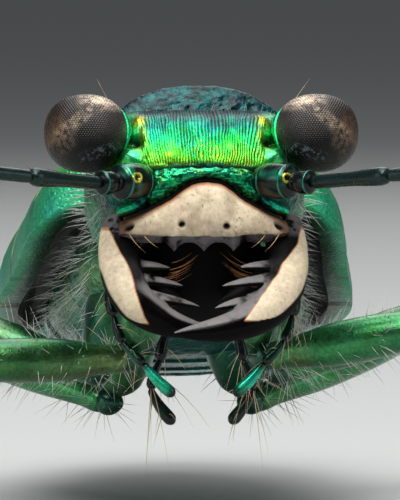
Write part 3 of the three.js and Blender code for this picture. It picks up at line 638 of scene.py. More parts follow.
def make_head():
    rings = capsule_rings()
    height, groove = head_relief(rings)
    made = raised(rings, height)
    shapes = [skin(made, head_tint(rings, groove))]
    inward = unit(stacked(-np.cos(BROW_TURN), 0.42 * BROW_TURN - 0.14, np.sin(BROW_TURN)))
    brow = EYE_CENTRE + 1.012 * EYE_RADII * inward
    for _, side in SIDES:
        rim = limb(brow * (side, 1, 1), BROW_WIDTHS, 90, 16)
        shapes.append(skin(rim).painted(0.006, 0.36, 0.12, 0.36))
    piece("head_skin", together(shapes), HEAD, FACE_GREEN, "green_cuticle", "head")
    bare = lambda p, n: (p[..., 2] > 0.9) & (np.abs(p[..., 0]) < 0.95) & (p[..., 1] < 1.8)
    fuzz = grown(made, 26, bare, (0, -0.4, 0.8), (0.05, 0.17), 0.003, tint=PALE_HAIR)
    low = lambda p, n: (p[..., 2] < 0.0) & (np.abs(p[..., 0]) > 1.0) & (p[..., 1] > 0.9)
    cheek = grown(made, 30, low, (0, -0.3, -0.8), (0.25, 0.6), 0.0065, sag=0.1, tint=WHITE_HAIR)
    roots = [(EYE_BRISTLE_ROOT[0] * side, *EYE_BRISTLE_ROOT[1:]) for _, side in SIDES]
    long = hairs(roots, EYE_BRISTLE_WAYS, EYE_BRISTLE_LENGTHS, 0.014, BROWN_HAIR)
    piece("head_hair", together([fuzz, cheek, long]), HEAD, HAIR, "cream_horn")


# Eyes: a dome over each cell of a ball's triangles turned inside out, so most cells have six sides
EYE_CENTRE = np.array([1.485, 0.83, 0.86])
EYE_RADII = np.array([0.535, 0.58, 0.5])
EYE_FREQUENCY = 19
FACET_RISE = 0.0055
EYE_ROUGHNESS = 0.28


def ball_points(frequency):
    """Points and triangles of an icosahedron with each face split and pushed out to a unit ball."""
    golden = (1 + math.sqrt(5)) / 2
    pairs = [(s, t * golden) for s in (-1, 1) for t in (-1, 1)]
    places = [(0, s, t) for s, t in pairs] + [(s, t, 0) for s, t in pairs] + [(t, 0, s) for s, t in pairs]
    corners = unit(np.array(places))
    apart = np.linalg.norm(corners[:, None] - corners, axis=-1)
    near = apart < 1.01 * apart[0, 1:].min()
    faces = [
        (i, j, k) for i in range(12) for j in range(i + 1, 12) for k in range(j + 1, 12)
        if near[i, j] and near[i, k] and near[j, k]
    ]
    index, points, triangles = {}, [], []

    def at(p):
        key = tuple(np.round(p, 5))
        if key not in index:
            index[key] = len(points)
            points.append(p)
        return index[key]

    for a, b, c in (corners[list(f)] for f in faces):
        grid = {}
        for i in range(frequency + 1):
            for j in range(frequency + 1 - i):
                grid[i, j] = at(unit(a + (b - a) * i / frequency + (c - a) * j / frequency))
        for i in range(frequency):
            for j in range(frequency - i):
                triangles.append((grid[i, j], grid[i + 1, j], grid[i, j + 1]))
                if i + j < frequency - 1:
                    triangles.append((grid[i + 1, j], grid[i + 1, j + 1], grid[i, j + 1]))
    return np.array(points), np.array(triangles)


EYE_SQUARENESS = 2.25


def facet_domes():
    """A dome for each cell, of a middle, an inner ring and a sunk rim, and how bright each point is painted:
    a painted highlight on the middle and inner ring, painted shade on the rim.
    """
    points, triangles = ball_points(EYE_FREQUENCY)
    centres = unit(points[triangles].mean(axis=1))
    around = [[] for _ in points]
    for t, corners in enumerate(triangles):
        for corner in corners:
            around[corner].append(t)
    made, quads, tris, lit = [], [], [], []
    scale = EYE_RADII.mean()
    for middle, cells in zip(points, around):
        east = unit(np.cross((0.3, 0.2, 0.93), middle))
        north = np.cross(middle, east)
        away = centres[cells] - middle
        rim = centres[cells][np.argsort(np.arctan2(away @ north, away @ east), kind="stable")]
        inner = unit(middle + 0.66 * (rim - middle)) * (1 + 0.7 * FACET_RISE / scale)
        start, n = len(made), len(cells)
        made += [middle * (1 + FACET_RISE / scale), *inner, *rim]
        lit += [1.0] * (n + 1) + [0.0] * n
        for k in range(n):
            here, beside = start + 1 + k, start + 1 + (k + 1) % n
            tris.append((start, here, beside))
            quads.append((here, here + n, beside + n, beside))
    made = np.array(made)
    squared = (np.abs(unit(made)) ** EYE_SQUARENESS).sum(axis=1) ** (-1 / EYE_SQUARENESS)
    return made * squared[:, None], quads, tris, np.array(lit)


# Where the band of mottling lies across the eye at each height
EYE_BAND = profile((-0.42, 0.34), (-0.2, 0.3), (0, 0.3), (0.14, 0.14), (0.41, -0.24))


def eye_tint(p, lit):
    """Grey-brown facets with pale mottling down the outer side, a mottled painted highlight over the top,
    painted shade that turns them black below, and painted glints.
    """
    x, _, z = np.moveaxis(p - EYE_CENTRE, -1, 0)
    off = x - EYE_BAND(z)
    cloud = 0.5 * rough_noise(p, 0.16, 31) + 0.8 * rough_noise(p, 0.05, 34) + 0.4 * noise(p, 0.022, 33)
    mottle = held(0.35 + cloud)
    band = ease(np.abs(off), 0.2, 0.04) * mottle * ease(z, -0.42, 0.15)
    # Painted highlight: a mottled pale beige patch over the top of the eye.
    top = ease(z, 0.24, 0.42) * ease(x, 0.16, -0.06) * ease(x, -0.5, -0.4)
    outer = ease(x, 0.2, 0.36) * mottle * ease(np.abs(z + 0.05), 0.4, 0.1)
    # Painted glints: bluish-white on the facets' middles, in a slanting band low on the inner half of the
    # eye.
    glint = ease(np.abs(z + 0.27 + 0.32 * (x + 0.12)), 0.1, 0.03)
    glint = glint * ease(x, -0.44, -0.3) * ease(x, 0.16, 0.0)
    colour = layered(
        # Painted shade: the facets turn near black towards the bottom and the outer side.
        mixed((0.0015, 0.0013, 0.0013), (0.034, 0.029, 0.027), ease(z - 0.3 * x, -0.12, 0.26)),
        ((0.014, 0.008, 0.006), ease(off, 0.05, 0.2)),
        ((0.42, 0.3, 0.2), 0.85 * band),
        ((0.8, 0.62, 0.46), top * (0.05 + mottle)),
        ((0.2, 0.1, 0.05), 0.5 * outer),
        ((0.2, 0.28, 0.32), 0.5 * glint * lit * ease(noise(p, 0.028, 35), 0.0, 0.5)),
    )
    # Painted shade on the sunk rim of each facet, painted light on its middle.
    return tinted(colour * (0.3 + 0.7 * lit)[..., None], EYE_ROUGHNESS)


def make_eyes():
    unit_points, quads, tris, lit = facet_domes()
    points = EYE_CENTRE + unit_points * EYE_RADII
    left = Shape(points, quads, tris, eye_tint(points, lit))
    for name, side in SIDES:
        shape = left if side > 0 else left.mirrored()
        piece(f"eye_facets_{name}", shape, HEAD, EYE, "compound_eye", f"eye_{name}")


# Face plates
FACE_CURVE = 0.2
LABRUM_HALF = 1.08
LABRUM_TEETH = (-0.38, 0, 0.38)
TOOTH_REACH = 0.16
TOOTH_LENGTH = 0.115
PLATE_POWER = 2 / 3
PLATE_END = 0.035  # length over which a plate's end is rounded
GAP = 0.12
LIP_GAP = 0.045
LABRUM_LEAN = 0.045  # the arch of the upper lip stands a little to the beetle's left
labrum_arch = profile(
    (0, 0.222), (0.17, 0.197), (0.3, 0.122), (0.46, 0.0), (0.65, -0.105), (0.88, -0.215),
    (LABRUM_HALF, -0.275)
)
CLYPEUS_HALF = 1.1
CLYPEUS_ROUGHNESS = 0.36


def labrum_top(x):
    return labrum_arch(np.abs(x - LABRUM_LEAN * (1 - (x / LABRUM_HALF) ** 2)))


clypeus_top = profile((0, 0.44), (0.5, 0.43), (0.66, 0.36), (0.85, 0.06), (CLYPEUS_HALF, -0.08))
PORES = ((-0.957, -0.346), (-0.294, -0.318), (0.276, -0.346), (0.958, -0.337))
PORE_RADIUS = 0.042


def labrum_bottom(x):
    side = np.abs(x)
    nearest = np.min([np.abs(x - tooth) for tooth in LABRUM_TEETH], axis=0)
    tooth = held(1 - nearest / TOOTH_REACH) ** 1.9
    outside = ease(side, 0.42, 0.47)
    ragged = 0.012 * across_noise(x, 0.06, 41) * outside
    toothed = TOOTH_LENGTH * tooth * (1 - outside * ease(side, 0.46, 0.5))
    return -0.545 - toothed + 0.03 * ease(side, 0.85, 1.02) + ragged


def plate(half, top, bottom, front, thickness, columns, around, belly=0.1):
    """Rings of a plate across the face. They run from the beetle's right to its left."""
    x = half * np.sin(np.pi / 2 * np.linspace(-0.985, 0.985, columns))
    ended = np.sqrt(1 - np.clip((np.abs(x) - half + PLATE_END) / PLATE_END, 0, 0.97) ** 2)
    high, low = top(x)[:, None], bottom(x)[:, None]
    a = 2 * math.pi * (np.arange(around) + 0.5) / around
    across = thickness / 2 * squared_off(np.cos(a), PLATE_POWER)
    rise = squared_off(np.sin(a), PLATE_POWER)
    z = (high + low) / 2 + (high - low) / 2 * rise * ended[:, None]
    y = front + FACE_CURVE * x[:, None] ** 2 - belly * (1 - rise**2) + thickness / 2 + across
    return stacked(x[:, None], y, z)


def make_labrum():
    rings = plate(LABRUM_HALF, labrum_top, labrum_bottom, 0.08, 0.36, 420, 190)
    x, y, z = np.moveaxis(rings, -1, 0)
    side = np.abs(x)
    flat = rings * (1, 0, 1)
    pore = np.zeros(x.shape)
    for u, v in PORES:
        lean, tall = (math.radians(50) * np.sign(u), 1.8) if abs(u) > 0.5 else (0, 1)
        along = (x - u) * math.cos(lean) - (z - v) * math.sin(lean)
        across = (x - u) * math.sin(lean) + (z - v) * math.cos(lean)
        pore = np.maximum(pore, np.exp(-((np.hypot(along / tall, across) / PORE_RADIUS) ** 4)))
    facing = ease(y - 0.08 - FACE_CURVE * x**2, 0.2, 0.1)
    waver = across_noise(x, 0.1, 44) + 0.6 * across_noise(x, 0.035, 48)
    edge = -0.468 + 0.01 * ease(side, 0.5, 0.7) + 0.014 * waver
    dark = ease(z, edge + 0.008, edge - 0.008)
    height = -0.06 * pore * facing + 0.005 * rough_noise(rings, 0.12, 43) - 0.02 * dark * facing
    rim = ease(labrum_top(x) - z, 0.07, 0.0)
    brown_edge = ease(z - edge, 0.035, 0.0) * ease(side, 0.4, 0.6) + ease(side, 0.9, 1.03)
    speck = ease(noise(flat, 0.02, 45), 0.55, 0.75) + 0.7 * ease(noise(flat, 0.034, 46), 0.66, 0.85)
    # Painted reflection: a sheen laid on the dark lower margin, broken by noise.
    grey = ease(side, 0.5, 0.42) + ease(side, 0.52, 0.6) * (0.5 + 0.5 * ease(x, 0.0, -0.1))
    grey = grey * ease(rough_noise(flat, 0.1, 50), -0.8, -0.2)
    colour = mixed((0.42, 0.33, 0.23), (0.58, 0.48, 0.34), ease(rough_noise(flat, 0.16, 47), -0.5, 0.5))
    colour = layered(
        colour * (1 + 0.1 * noise(flat, 0.025, 49))[..., None],
        ((0.1, 0.07, 0.045), 0.7 * speck),
        ((0.26, 0.08, 0.02), 0.9 * rim),
        ((0.07, 0.025, 0.012), 0.85 * brown_edge),
        (mixed((0.006, 0.005, 0.005), (0.14, 0.124, 0.13), grey), dark),
        ((0.006, 0.004, 0.004), 1.3 * pore * facing),
    )
    tint = tinted(colour, 0.5 - 0.25 * dark)
    piece("labrum_plate", skin(raised(rings, height), tint), HEAD, CREAM, "cream_horn", "labrum")
    roots = [(0.97 * s, 0.2, -0.4) for _, s in SIDES] + [(0.78 * s, 0.16, -0.44) for _, s in SIDES]
    ways = [(-0.35 * s, -0.7, -0.9) for _, s in SIDES] + [(-0.45 * s, -0.6, -0.7) for _, s in SIDES]
    curl = [(-0.3 * s, 0.2, 0) for _, s in SIDES] * 2
    setae = hairs(roots, ways, (0.36, 0.36, 0.26, 0.26), 0.0075, AMBER_HAIR, curl=curl)
    piece("labrum_setae", setae, HEAD, HAIR, "cream_horn")


def make_clypeus():
    top = lambda q: clypeus_top(np.abs(q))
    rings = plate(CLYPEUS_HALF, top, lambda q: labrum_top(q) + LIP_GAP, 0.24, 0.4, 460, 140, belly=0.06)
    x, _, z = np.moveaxis(rings, -1, 0)
    side = np.abs(x)
    wrinkle = rough_noise(rings * (1, 1, 1.9), 0.045, 51)
    lines = noise(stacked(x * 0.6 + z * np.sign(x), z * 2.2, 0), 0.04, 52)
    middle = ease(side, 0.72, 0.6)
    top_edge = ease(clypeus_top(side) - z, 0.04, 0.0)
    height = (0.01 * wrinkle + 0.007 * lines) * middle + 0.006 * rough_noise(rings, 0.05, 53)
    height -= 0.03 * top_edge * middle
    height -= 0.05 * ease(np.abs(side - 0.7), 0.05, 0.0)
    # Painted light and shade: the colour is dark in the troughs of the wrinkles and lines and bright on their
    # crests, here and on the outer part.
    crest_light = ease(wrinkle + 0.6 * lines, -0.45, 0.45)
    outer = ease(side, 0.66, 0.74)
    above = z - labrum_top(x)
    colour = layered(
        mixed((0.0, 0.045, 0.025), (0.01, 0.4, 0.15), crest_light),
        ((0.16, 0.36, 0.03), 0.5 * ease(noise(rings, 0.1, 55), 0.2, 0.7) * crest_light),
        (mixed((0.0, 0.04, 0.04), (0.01, 0.3, 0.2), ease(wrinkle, -0.1, 0.5)), outer),
        ((0.01, 0.5, 0.24), outer * ease(side, 0.84, 0.94) * ease(wrinkle, -0.7, 0.2)),
        ((0.3, 0.6, 0.02), 0.8 * outer * ease(side, 0.86, 0.98) * ease(above, 0.12, 0.06)),
        ((0.05, 0.02, 0.05), 0.9 * top_edge),
        ((0.006, 0.008, 0.006), ease(above - LIP_GAP, 0.035, 0.01)),
    )
    shape = skin(raised(rings, height), tinted(colour, CLYPEUS_ROUGHNESS))
    piece("clypeus_plate", shape, HEAD, FACE_GREEN, "green_cuticle", "clypeus")
    high, low = lambda q: labrum_top(q) + 0.14, lambda q: labrum_top(q) - 0.1
    lip = skin(plate(1.02, high, low, 0.34, 0.2, 160, 30, 0.03))
    piece("lip_skin", lip.painted(0.008, 0.005, 0.004, 0.3), HEAD, BLACK, "black_horn")


# Jaws
MANDIBLE_PATH = (
    (1.04, 0.78, -0.32), (1.07, 0.46, -0.66), (1.03, 0.18, -1.02), (0.86, 0, -1.32), (0.52, -0.1, -1.54),
    (0.14, -0.16, -1.64)
)
MANDIBLE_ACROSS = profile(
    (0, 0.25), (0.16, 0.27), (0.36, 0.27), (0.56, 0.25), (0.74, 0.19), (0.9, 0.11), (1, 0.03)
)
MANDIBLE_TIPS = {"left": (-0.42, -0.2, -1.7), "right": (-0.08, -0.1, -1.6)}
CROSSING = {"left": -0.24, "right": 0.2}
MANDIBLE_TEETH = {  # root on the blade, then the point
    "left": (
        ((0.98, 0.22, -0.86), (0.44, 0.16, -0.86)), ((0.92, 0.1, -1.02), (0.2, 0.1, -1.1)),
        ((0.74, 0.03, -1.26), (0.1, 0.0, -1.38))
    ),
    "right": (
        ((0.98, 0.22, -0.84), (0.42, 0.18, -0.87)), ((0.94, 0.12, -1.0), (0.26, 0.1, -1.1)),
        ((0.8, 0.05, -1.22), (0.06, 0.02, -1.36))
    ),
}
JAW_VOXEL = 0.013
CREAM_INNER = {  # edge of the pale patch towards the mouth, across at each height
    "right": profile(
        (-1.58, 0.72), (-1.449, 0.789), (-1.206, 0.873), (-1.019, 0.92), (-0.832, 0.985), (-0.646, 1.079),
        (-0.365, 1.219)
    ),
    "left": profile(
        (-1.53, 0.47), (-1.318, 0.622), (-1.15, 0.753), (-0.963, 0.902), (-0.832, 0.977), (-0.608, 1.164),
        (-0.366, 1.257)
    ),
}
CREAM_OUTER = {
    "right": profile(
        (-1.58, 0.76), (-1.543, 0.892), (-1.468, 1.013), (-1.299, 1.144), (-1.15, 1.23), (-0.926, 1.31),
        (-0.7, 1.42)
    ),
    "left": profile(
        (-1.53, 0.66), (-1.487, 0.865), (-1.356, 1.052), (-1.169, 1.22), (-0.963, 1.31), (-0.7, 1.42)
    ),
}
CREAM_LOW = {"right": -1.565, "left": -1.525}


def on_blade(name, side, p):
    x, y, z = p
    return (x * side, y + CROSSING[name] * min(1, max(0, (1 - x) / 0.7)), z)


TOOTH_ROLL = 45  # degrees that a tooth's flat side is turned up from facing forward
tooth_width = profile((0, 0.18), (0.3, 0.105), (0.65, 0.072), (0.88, 0.042), (1, 0.012))


def make_mandible(name, side):
    path = [on_blade(name, side, p) for p in (*MANDIBLE_PATH, MANDIBLE_TIPS[name])]
    parts = [skin(tapered(path, MANDIBLE_ACROSS, 90, 40, 0.92))]
    for root, tip in MANDIBLE_TEETH[name]:
        a, b = np.array(on_blade(name, side, root)), np.array(on_blade(name, side, tip))
        bow = (a + b) / 2 + (0, -0.03, 0.015)
        parts.append(skin(tapered([a, bow, b], tooth_width, 60, 24, 0.42, -side * TOOTH_ROLL)))
    shape = remeshed(parts, JAW_VOXEL)
    p, n = shape.points, vertex_normals(shape)
    x, z = p[:, 0] * side, p[:, 2]
    from_inner = x - CREAM_INNER[name](z)
    inside = ease(from_inner - 0.012 * noise(p, 0.12, 61), -0.012, 0.012)
    inside = inside * ease(CREAM_OUTER[name](z) - x, -0.015, 0.02)
    low = CREAM_LOW[name]
    cream = inside * ease(z, low - 0.02, low + 0.01) * ease(z, -0.33, -0.4) * ease(n[:, 1], 0.45, 0.2)
    edge = 4 * cream * (1 - cream)
    speck = ease(noise(p, 0.02, 62), 0.62, 0.8)
    # Painted reflection: the black turns lighter on the faces of the teeth and lower blade that turn up and
    # forward, broken by noise.
    upper = ease(n[:, 2], 0.38, 0.56) * ease(n[:, 1], 0.1, -0.25) * ease(z, -0.68, -0.84)
    upper = upper * (1 - 0.9 * ease(x, 0.72, 0.84) * ease(z, -1.16, -0.98))
    upper = upper * ease(rough_noise(p, 0.16, 63), -0.7, 0.0)
    # Painted reflection: the outer root of the blade turns lighter where it faces forward.
    base = ease(z, -0.5, -0.4) * ease(x, 1.04, 1.1) * ease(n[:, 1], 0.3, -0.1)
    cloud = 1 + 0.1 * noise(p, 0.03, 65) + 0.12 * rough_noise(p, 0.14, 66)
    colour = layered(
        mixed((0.0015, 0.001, 0.001), (0.15, 0.138, 0.138), upper),
        ((0.09, 0.083, 0.086), base * ease(rough_noise(p, 0.08, 64), -0.5, 0.0)),
        (np.array([0.58, 0.48, 0.34]) * cloud[:, None], cream),
        ((0.16, 0.11, 0.07), 0.45 * speck * cream),
        ((0.36, 0.12, 0.02), 0.9 * edge * ease(from_inner, 0.1, 0.04)),
    )
    mouth_side = ease(x, 0.76, 0.88) * ease(z, -1.36, -1.16)
    dull = np.maximum(mouth_side, ease(n[:, 2], 0.0, -0.3)) * (1 - cream)
    shape.tint = tinted(colour, 0.2 + 0.28 * cream + 0.4 * dull)
    piece(f"mandible_blade_{name}", shape, HEAD, CREAM, "cream_horn", f"mandible_{name}")


MOUTH_BLACK = (0.0015, 0.0012, 0.0012, 0.5)
MAXILLA_LIMBS = (  # path on the left side, widths, rows and sides
    (
        ((0.82, 1.08, -0.62), (0.76, 0.92, -0.95), (0.54, 0.74, -1.18), (0.2, 0.58, -1.3)),
        ((0, 0.26), (0.4, 0.24), (0.75, 0.16), (1, 0.04)), 50, 28
    ),
    (
        ((0.98, 1.02, -0.9), (0.92, 0.78, -1.12), (0.72, 0.6, -1.3), (0.48, 0.5, -1.4)),
        ((0, 0.09), (0.4, 0.11), (0.8, 0.09), (1, 0.05)), 40, 18
    ),
)
BRISTLES = 12  # in each maxilla's comb
COMB_SHIFT = 0.07  # of both combs to the beetle's left
LABIUM_PATH = ((0, 1.08, -0.2), (0, 1.04, -0.7), (0, 1.0, -1.2), (0, 0.97, -1.56))
labium_width = profile((0, 0.7), (0.35, 0.78), (0.7, 0.62), (1, 0.22))


def make_mouth():
    """Maxillae with their combs of bristles, and the labium that closes the mouth from below and behind."""
    for name, side in SIDES:
        lobes = [
            skin(limb(np.array(path) * (side, 1, 1), *form)).painted(*MOUTH_BLACK)
            for path, *form in MAXILLA_LIMBS
        ]
        piece(f"maxilla_lobe_{name}", together(lobes), HEAD, MOUTH, "black_horn", f"maxilla_{name}")
        share = np.linspace(0, 1, BRISTLES)
        roots = stacked(COMB_SHIFT + side * (0.64 - 0.2 * share), 0.48 - 0.1 * share, -1.12 + 0.3 * share)
        roots = roots + rng.normal(0, 0.025, (BRISTLES, 3))
        ways = stacked(-side, -0.25, 0.22 * share) + rng.normal(0, 0.06, (BRISTLES, 3))
        long = rng.uniform(0.26, 0.4, BRISTLES)
        comb = hairs(roots, ways, long, 0.0038, RUST_HAIR, curl=(0, 0, 0.36), uv=stacked(share, 0))
        piece(f"maxilla_bristles_{name}", comb, HEAD, HAIR, "black_horn")
    labium = skin(tapered(LABIUM_PATH, labium_width, 50, 60, 0.26)).painted(*MOUTH_BLACK)
    piece("labium_plate", labium, HEAD, MOUTH, "black_horn", "labium")


# Palps and antennae
PALPS = {  # path, then for each joint its radius, share of teal (the real green of the maxillary palp's last joint, a painted sheen on the other joints), and hairs: count, shortest and longest
    "maxillary_palp": (
        ((1.2, 0.72, -1.1), (1.14, 0.58, -1.5), (1.03, 0.5, -1.82), (0.76, 0.42, -2.1), (0.38, 0.36, -2.5)),
        (
            (0.08, 0.02, 3, 0.25, 0.45), (0.066, 0.04, 3, 0.2, 0.45), (0.068, 0.12, 3, 0.15, 0.35),
            (0.08, 1.0, 4, 0.1, 0.2)
        ),
    ),
    "labial_palp": (
        ((0.42, 1.04, -1.66), (0.54, 1.0, -2.08), (0.66, 0.96, -2.44), (0.36, 0.92, -2.88)),
        ((0.08, 0.01, 3, 0.4, 0.75), (0.07, 0.02, 8, 0.5, 0.9), (0.085, 0.03, 3, 0.15, 0.3)),
    ),
}

PALP_WIDTHS = ((0, 0.5), (0.12, 0.6), (0.5, 0.88), (0.8, 1), (1, 0.8))  # as shares of each joint's radius
PALP_BLACK = np.array([0.004, 0.006, 0.007, 0.24])
PALP_TEAL = np.array([0.01, 0.46, 0.24, 0.24])


def palp_joint(a, b, radius, green):
    widths = [(at, share * radius) for at, share in PALP_WIDTHS]
    bow = (a + b) / 2 + 0.05 * np.linalg.norm(b - a) * np.sign(a[0]) * np.array([1, 0, 0])
    rings = limb([a, bow, b], widths, 34, 20, caps=(0.6, 0.9))
    share = np.linspace(0, 1, 34)[:, None]
    # Teal over the middle of each joint: the real green of the maxillary palp's last joint, a painted sheen
    # on the other joints.
    lit = green * ease(share, 0.1, 0.4) * ease(share, 0.84, 0.6) * ease(noise(rings, 0.12, 68), -0.9, 0.2)
    return rings, skin(rings, mixed(PALP_BLACK, PALP_TEAL, lit))


def make_palp(name, side, kind):
    path, joints = PALPS[kind]
    at = np.array(path) * (side, 1, 1)
    shapes, coats = [], []
    for a, b, (radius, green, count, *lengths) in zip(at, at[1:], joints):
        along = unit(b - a)
        rings, shape = palp_joint(a - 0.02 * along, b, radius, green)
        shapes.append(shape)
        beyond = lambda p, n: (p - a) @ along > 0.3 * np.linalg.norm(b - a)
        coats.append(grown(rings, count, beyond, 0.5 * along, lengths, 0.0075, GOLD_HAIR, sag=0.42))
    piece(f"{kind}_joints_{name}", together(shapes), HEAD, DARK_GREEN, "dark_cuticle", f"{kind}_{name}")
    piece(f"{kind}_setae_{name}", together(coats), HEAD, HAIR, "dark_cuticle")


def make_palps():
    for name, side in SIDES:
        for kind in PALPS:
            make_palp(name, side, kind)


SCAPE_PATH = ((0.84, 0.22, 0.24), (1.14, -0.08, 0.22))
ANTENNA_TURN = np.array([
    (1.36, -0.28, 0.21), (2.24, -1.2, 0.28), (3.04, -1.66, 0.36), (4.02, -1.84, 0.46), (4.94, -1.74, 0.57),
    (5.74, -1.4, 0.68), (6.42, -0.92, 0.78), (6.98, -0.36, 0.86), (7.42, 0.24, 0.92), (7.76, 0.88, 0.96),
    (8.02, 1.56, 0.98),
])
PORE_RING = 0.05
# Where the bristle's pore is on each scape
PORE_PLACE = {"left": (1.035, -0.16, 0.27), "right": (-0.86, -0.1, 0.28)}
SCAPE_ROUGHNESS = 0.2
SCAPE_END_WIDTHS = ((0, 0.09), (0.2, 0.13), (0.55, 0.155), (0.9, 0.14), (1, 0.1))
ANTENNA_WIDTHS = ((0, 0.5), (0.06, 0.72), (0.5, 0.78), (0.9, 1), (1, 0.7))  # as shares of the joint's radius


def make_scape(name, side):
    a, b = (np.array(p) * (side, 1, 1) for p in SCAPE_PATH)
    end = ANTENNA_TURN[0] * (side, 1, 1)
    widths = ((0, 0.12), (0.08, 0.17), (0.2, 0.2), (0.5, 0.235), (0.82, 0.225), (0.95, 0.19), (1, 0.14))
    barrel = limb([a - 0.22 * unit(b - a), b], widths, 90, 70, caps=(0.3, 0.3))
    share = np.broadcast_to(np.linspace(0, 1, 90)[:, None], barrel.shape[:2])
    centre = np.array(PORE_PLACE[name])
    away = np.linalg.norm((barrel - centre)[..., (0, 2)], axis=-1)
    front = ease((barrel - centre)[..., 1], 0.12, 0.04)
    ring = ease(np.abs(away - PORE_RING), 0.018, 0.007) * front
    pit = ease(away, 0.036, 0.022) * front
    hoop = ease(np.abs(share - 0.34), 0.02, 0.008) + ease(np.abs(share - 0.74), 0.02, 0.008)
    colour = mixed((0.003, 0.008, 0.008), (0.01, 0.14, 0.09), ease(noise(barrel, 0.14, 71), 0.1, 0.8))
    colour = layered(
        colour,
        ((0.01, 0.3, 0.2), 0.6 * hoop),
        ((0.55, 0.56, 0.03), ring),
        ((0.002, 0.002, 0.002), pit),
    )
    tint = tinted(colour, SCAPE_ROUGHNESS)
    shapes = [skin(raised(barrel, 0.012 * ring - 0.03 * pit + 0.008 * hoop), tint)]
    small = limb([b - 0.03 * unit(end - b), end], SCAPE_END_WIDTHS, 60, 40, caps=(0.5, 0.3))
    along = np.broadcast_to(np.linspace(0, 1, 60)[:, None], small.shape[:2])
    band = ease(np.abs(along - 0.72), 0.04, 0.015)
    colour = mixed((0.003, 0.006, 0.006), (0.01, 0.14, 0.1), band)
    tint = tinted(colour, SCAPE_ROUGHNESS)
    shapes.append(skin(raised(small, 0.008 * band), tint))
    neck = limb([b - 0.12 * unit(b - a), b + 0.1 * unit(end - b)], ((0, 0.13), (1, 0.12)), 20, 30)
    shapes.append(skin(neck).painted(0.003, 0.003, 0.003, 0.3))
    node = f"antenna_scape_{name}"
    piece(f"scape_barrel_{name}", together(shapes), HEAD, DARK_GREEN, "dark_cuticle", node)
    if name == "left":
        root, way = centre + (0, 0.03, 0.03), (-0.02, -0.3, 1)
        bristle = hairs([root], [way], 0.62, 0.011, BLACK_HAIR, curl=(-0.08, 0, 0))
        piece("scape_bristle_left", bristle, HEAD, HAIR, "black_horn")


def antenna_joints(first, last, side, tint, down):
    at = ANTENNA_TURN * (side, 1, 1)
    shapes, coats = [], []
    for i in range(first, last):
        radius = 0.118 - 0.006 * i
        way = unit(at[i + 1] - at[i])
        widths = [(share, part * radius) for share, part in ANTENNA_WIDTHS]
        rings = limb([at[i] - 0.03 * way, at[i + 1]], widths, 50, 24, caps=(0.4, 0.5))
        shapes.append(skin(rings).painted(*tint))
        coats.append(grown(rings, down[0], anywhere, 1.5 * way, down[1:], 0.003, DOWN_HAIR))
        ends = lambda p, n: np.linalg.norm(p - at[i + 1], axis=-1) < 0.12
        coats.append(grown(rings, 5, ends, 0.9 * way, (0.1, 0.2), 0.0045, DARK_HAIR))
    return together(shapes), together(coats)


def make_antennae():
    for name, side in SIDES:
        make_scape(name, side)
        shaft, down = antenna_joints(0, 4, side, (0.004, 0.018, 0.015, 0.28), (10, 0.05, 0.1))
        node = f"antenna_shaft_{name}"
        piece(f"antenna_green_joints_{name}", shaft, HEAD, DARK_GREEN, "dark_cuticle", node)
        whip, fuzz = antenna_joints(4, 10, side, (0.07, 0.045, 0.03, 0.5), (170, 0.03, 0.06))
        piece(f"antenna_brown_joints_{name}", whip, HEAD, FEELER, "brown_feeler", f"antenna_whip_{name}")
        piece(f"antenna_down_{name}", together([down, fuzz]), HEAD, HAIR, "brown_feeler")


# Trunk
PROTHORAX_HALF = 1.45
COLLAR_ROUND = 0.16  # depth over which the front of the prothorax is rounded
prothorax_half = profile(
    (-2.6, 0.86 * PROTHORAX_HALF), (-2.38, 0.93 * PROTHORAX_HALF), (-2.12, 0.89 * PROTHORAX_HALF),
    (-1.5, PROTHORAX_HALF), (-0.95, 0.98 * PROTHORAX_HALF), (-0.42, 0.83 * PROTHORAX_HALF),
    (-0.2, 0.86 * PROTHORAX_HALF), (0, 0.78 * PROTHORAX_HALF)
)
prothorax_top = profile(
    (-2.6, 0.98), (-2.38, 1.08), (-2.12, 1.0), (-1.5, 1.16), (-0.95, 1.12), (-0.42, 0.92), (-0.2, 0.98),
    (0, 0.86)
)
prothorax_bottom = profile((-2.6, -0.86), (-1.8, -1.1), (-0.8, -1.16), (0, -0.9))
ELYTRA_START = 0.16
ELYTRA_END = 8.6
elytra_half = profile(
    (ELYTRA_START, 1.35), (0.4, 1.86), (0.85, 2.14), (2.4, 2.34), (5.2, 2.62), (6.7, 2.36), (7.7, 1.68),
    (8.3, 0.92), (ELYTRA_END, 0.42)
)
elytra_crest = profile(
    (ELYTRA_START, 0.98), (0.8, 1.16), (3.2, 1.32), (5.6, 1.2), (7.2, 0.76), (8.2, 0.28), (ELYTRA_END, 0.06)
)
elytra_edge = profile(
    (ELYTRA_START, 0.1), (0.8, -0.2), (3, -0.42), (6, -0.42), (7.6, -0.3), (ELYTRA_END, -0.34)
)
THORAX_END = 3.5
ABDOMEN_END = 8.0
SHELL = 0.5
WAIST_SIZES = (1.02, 0.74, -0.8)  # half width, top and bottom of the waist behind the prothorax
WAIST_DARK = (0.004, 0.03, 0.025, 0.5)
thorax_bottom = profile((GAP, -0.85), (0.5, -1.2), (1.2, -1.42), (2.6, -1.55), (THORAX_END, -1.4))
abdomen_fall = profile((THORAX_END, -1.36), (5.5, -1.3), (7, -1.05), (ABDOMEN_END, -0.66))


def trunk(y, half, top, bottom, power, columns):
    """Rings of a rounded trunk along y."""
    a = 2 * math.pi * np.arange(columns) / columns
    rise = squared_off(np.sin(a), 2 / power)
    high, low = top(y)[:, None], bottom(y)[:, None]
    middle = 0.4 * high + 0.6 * low
    z = middle + rise * np.where(rise > 0, high - middle, middle - low)
    return stacked(half(y)[:, None] * squared_off(np.cos(a), 2 / power), y[:, None], z)


def metal_tint(p, dark, bright, size, seed, rough=0.32):
    share = ease(rough_noise(p, size, seed), -0.4, 0.5)
    return tinted(mixed(dark, bright, share), rough)


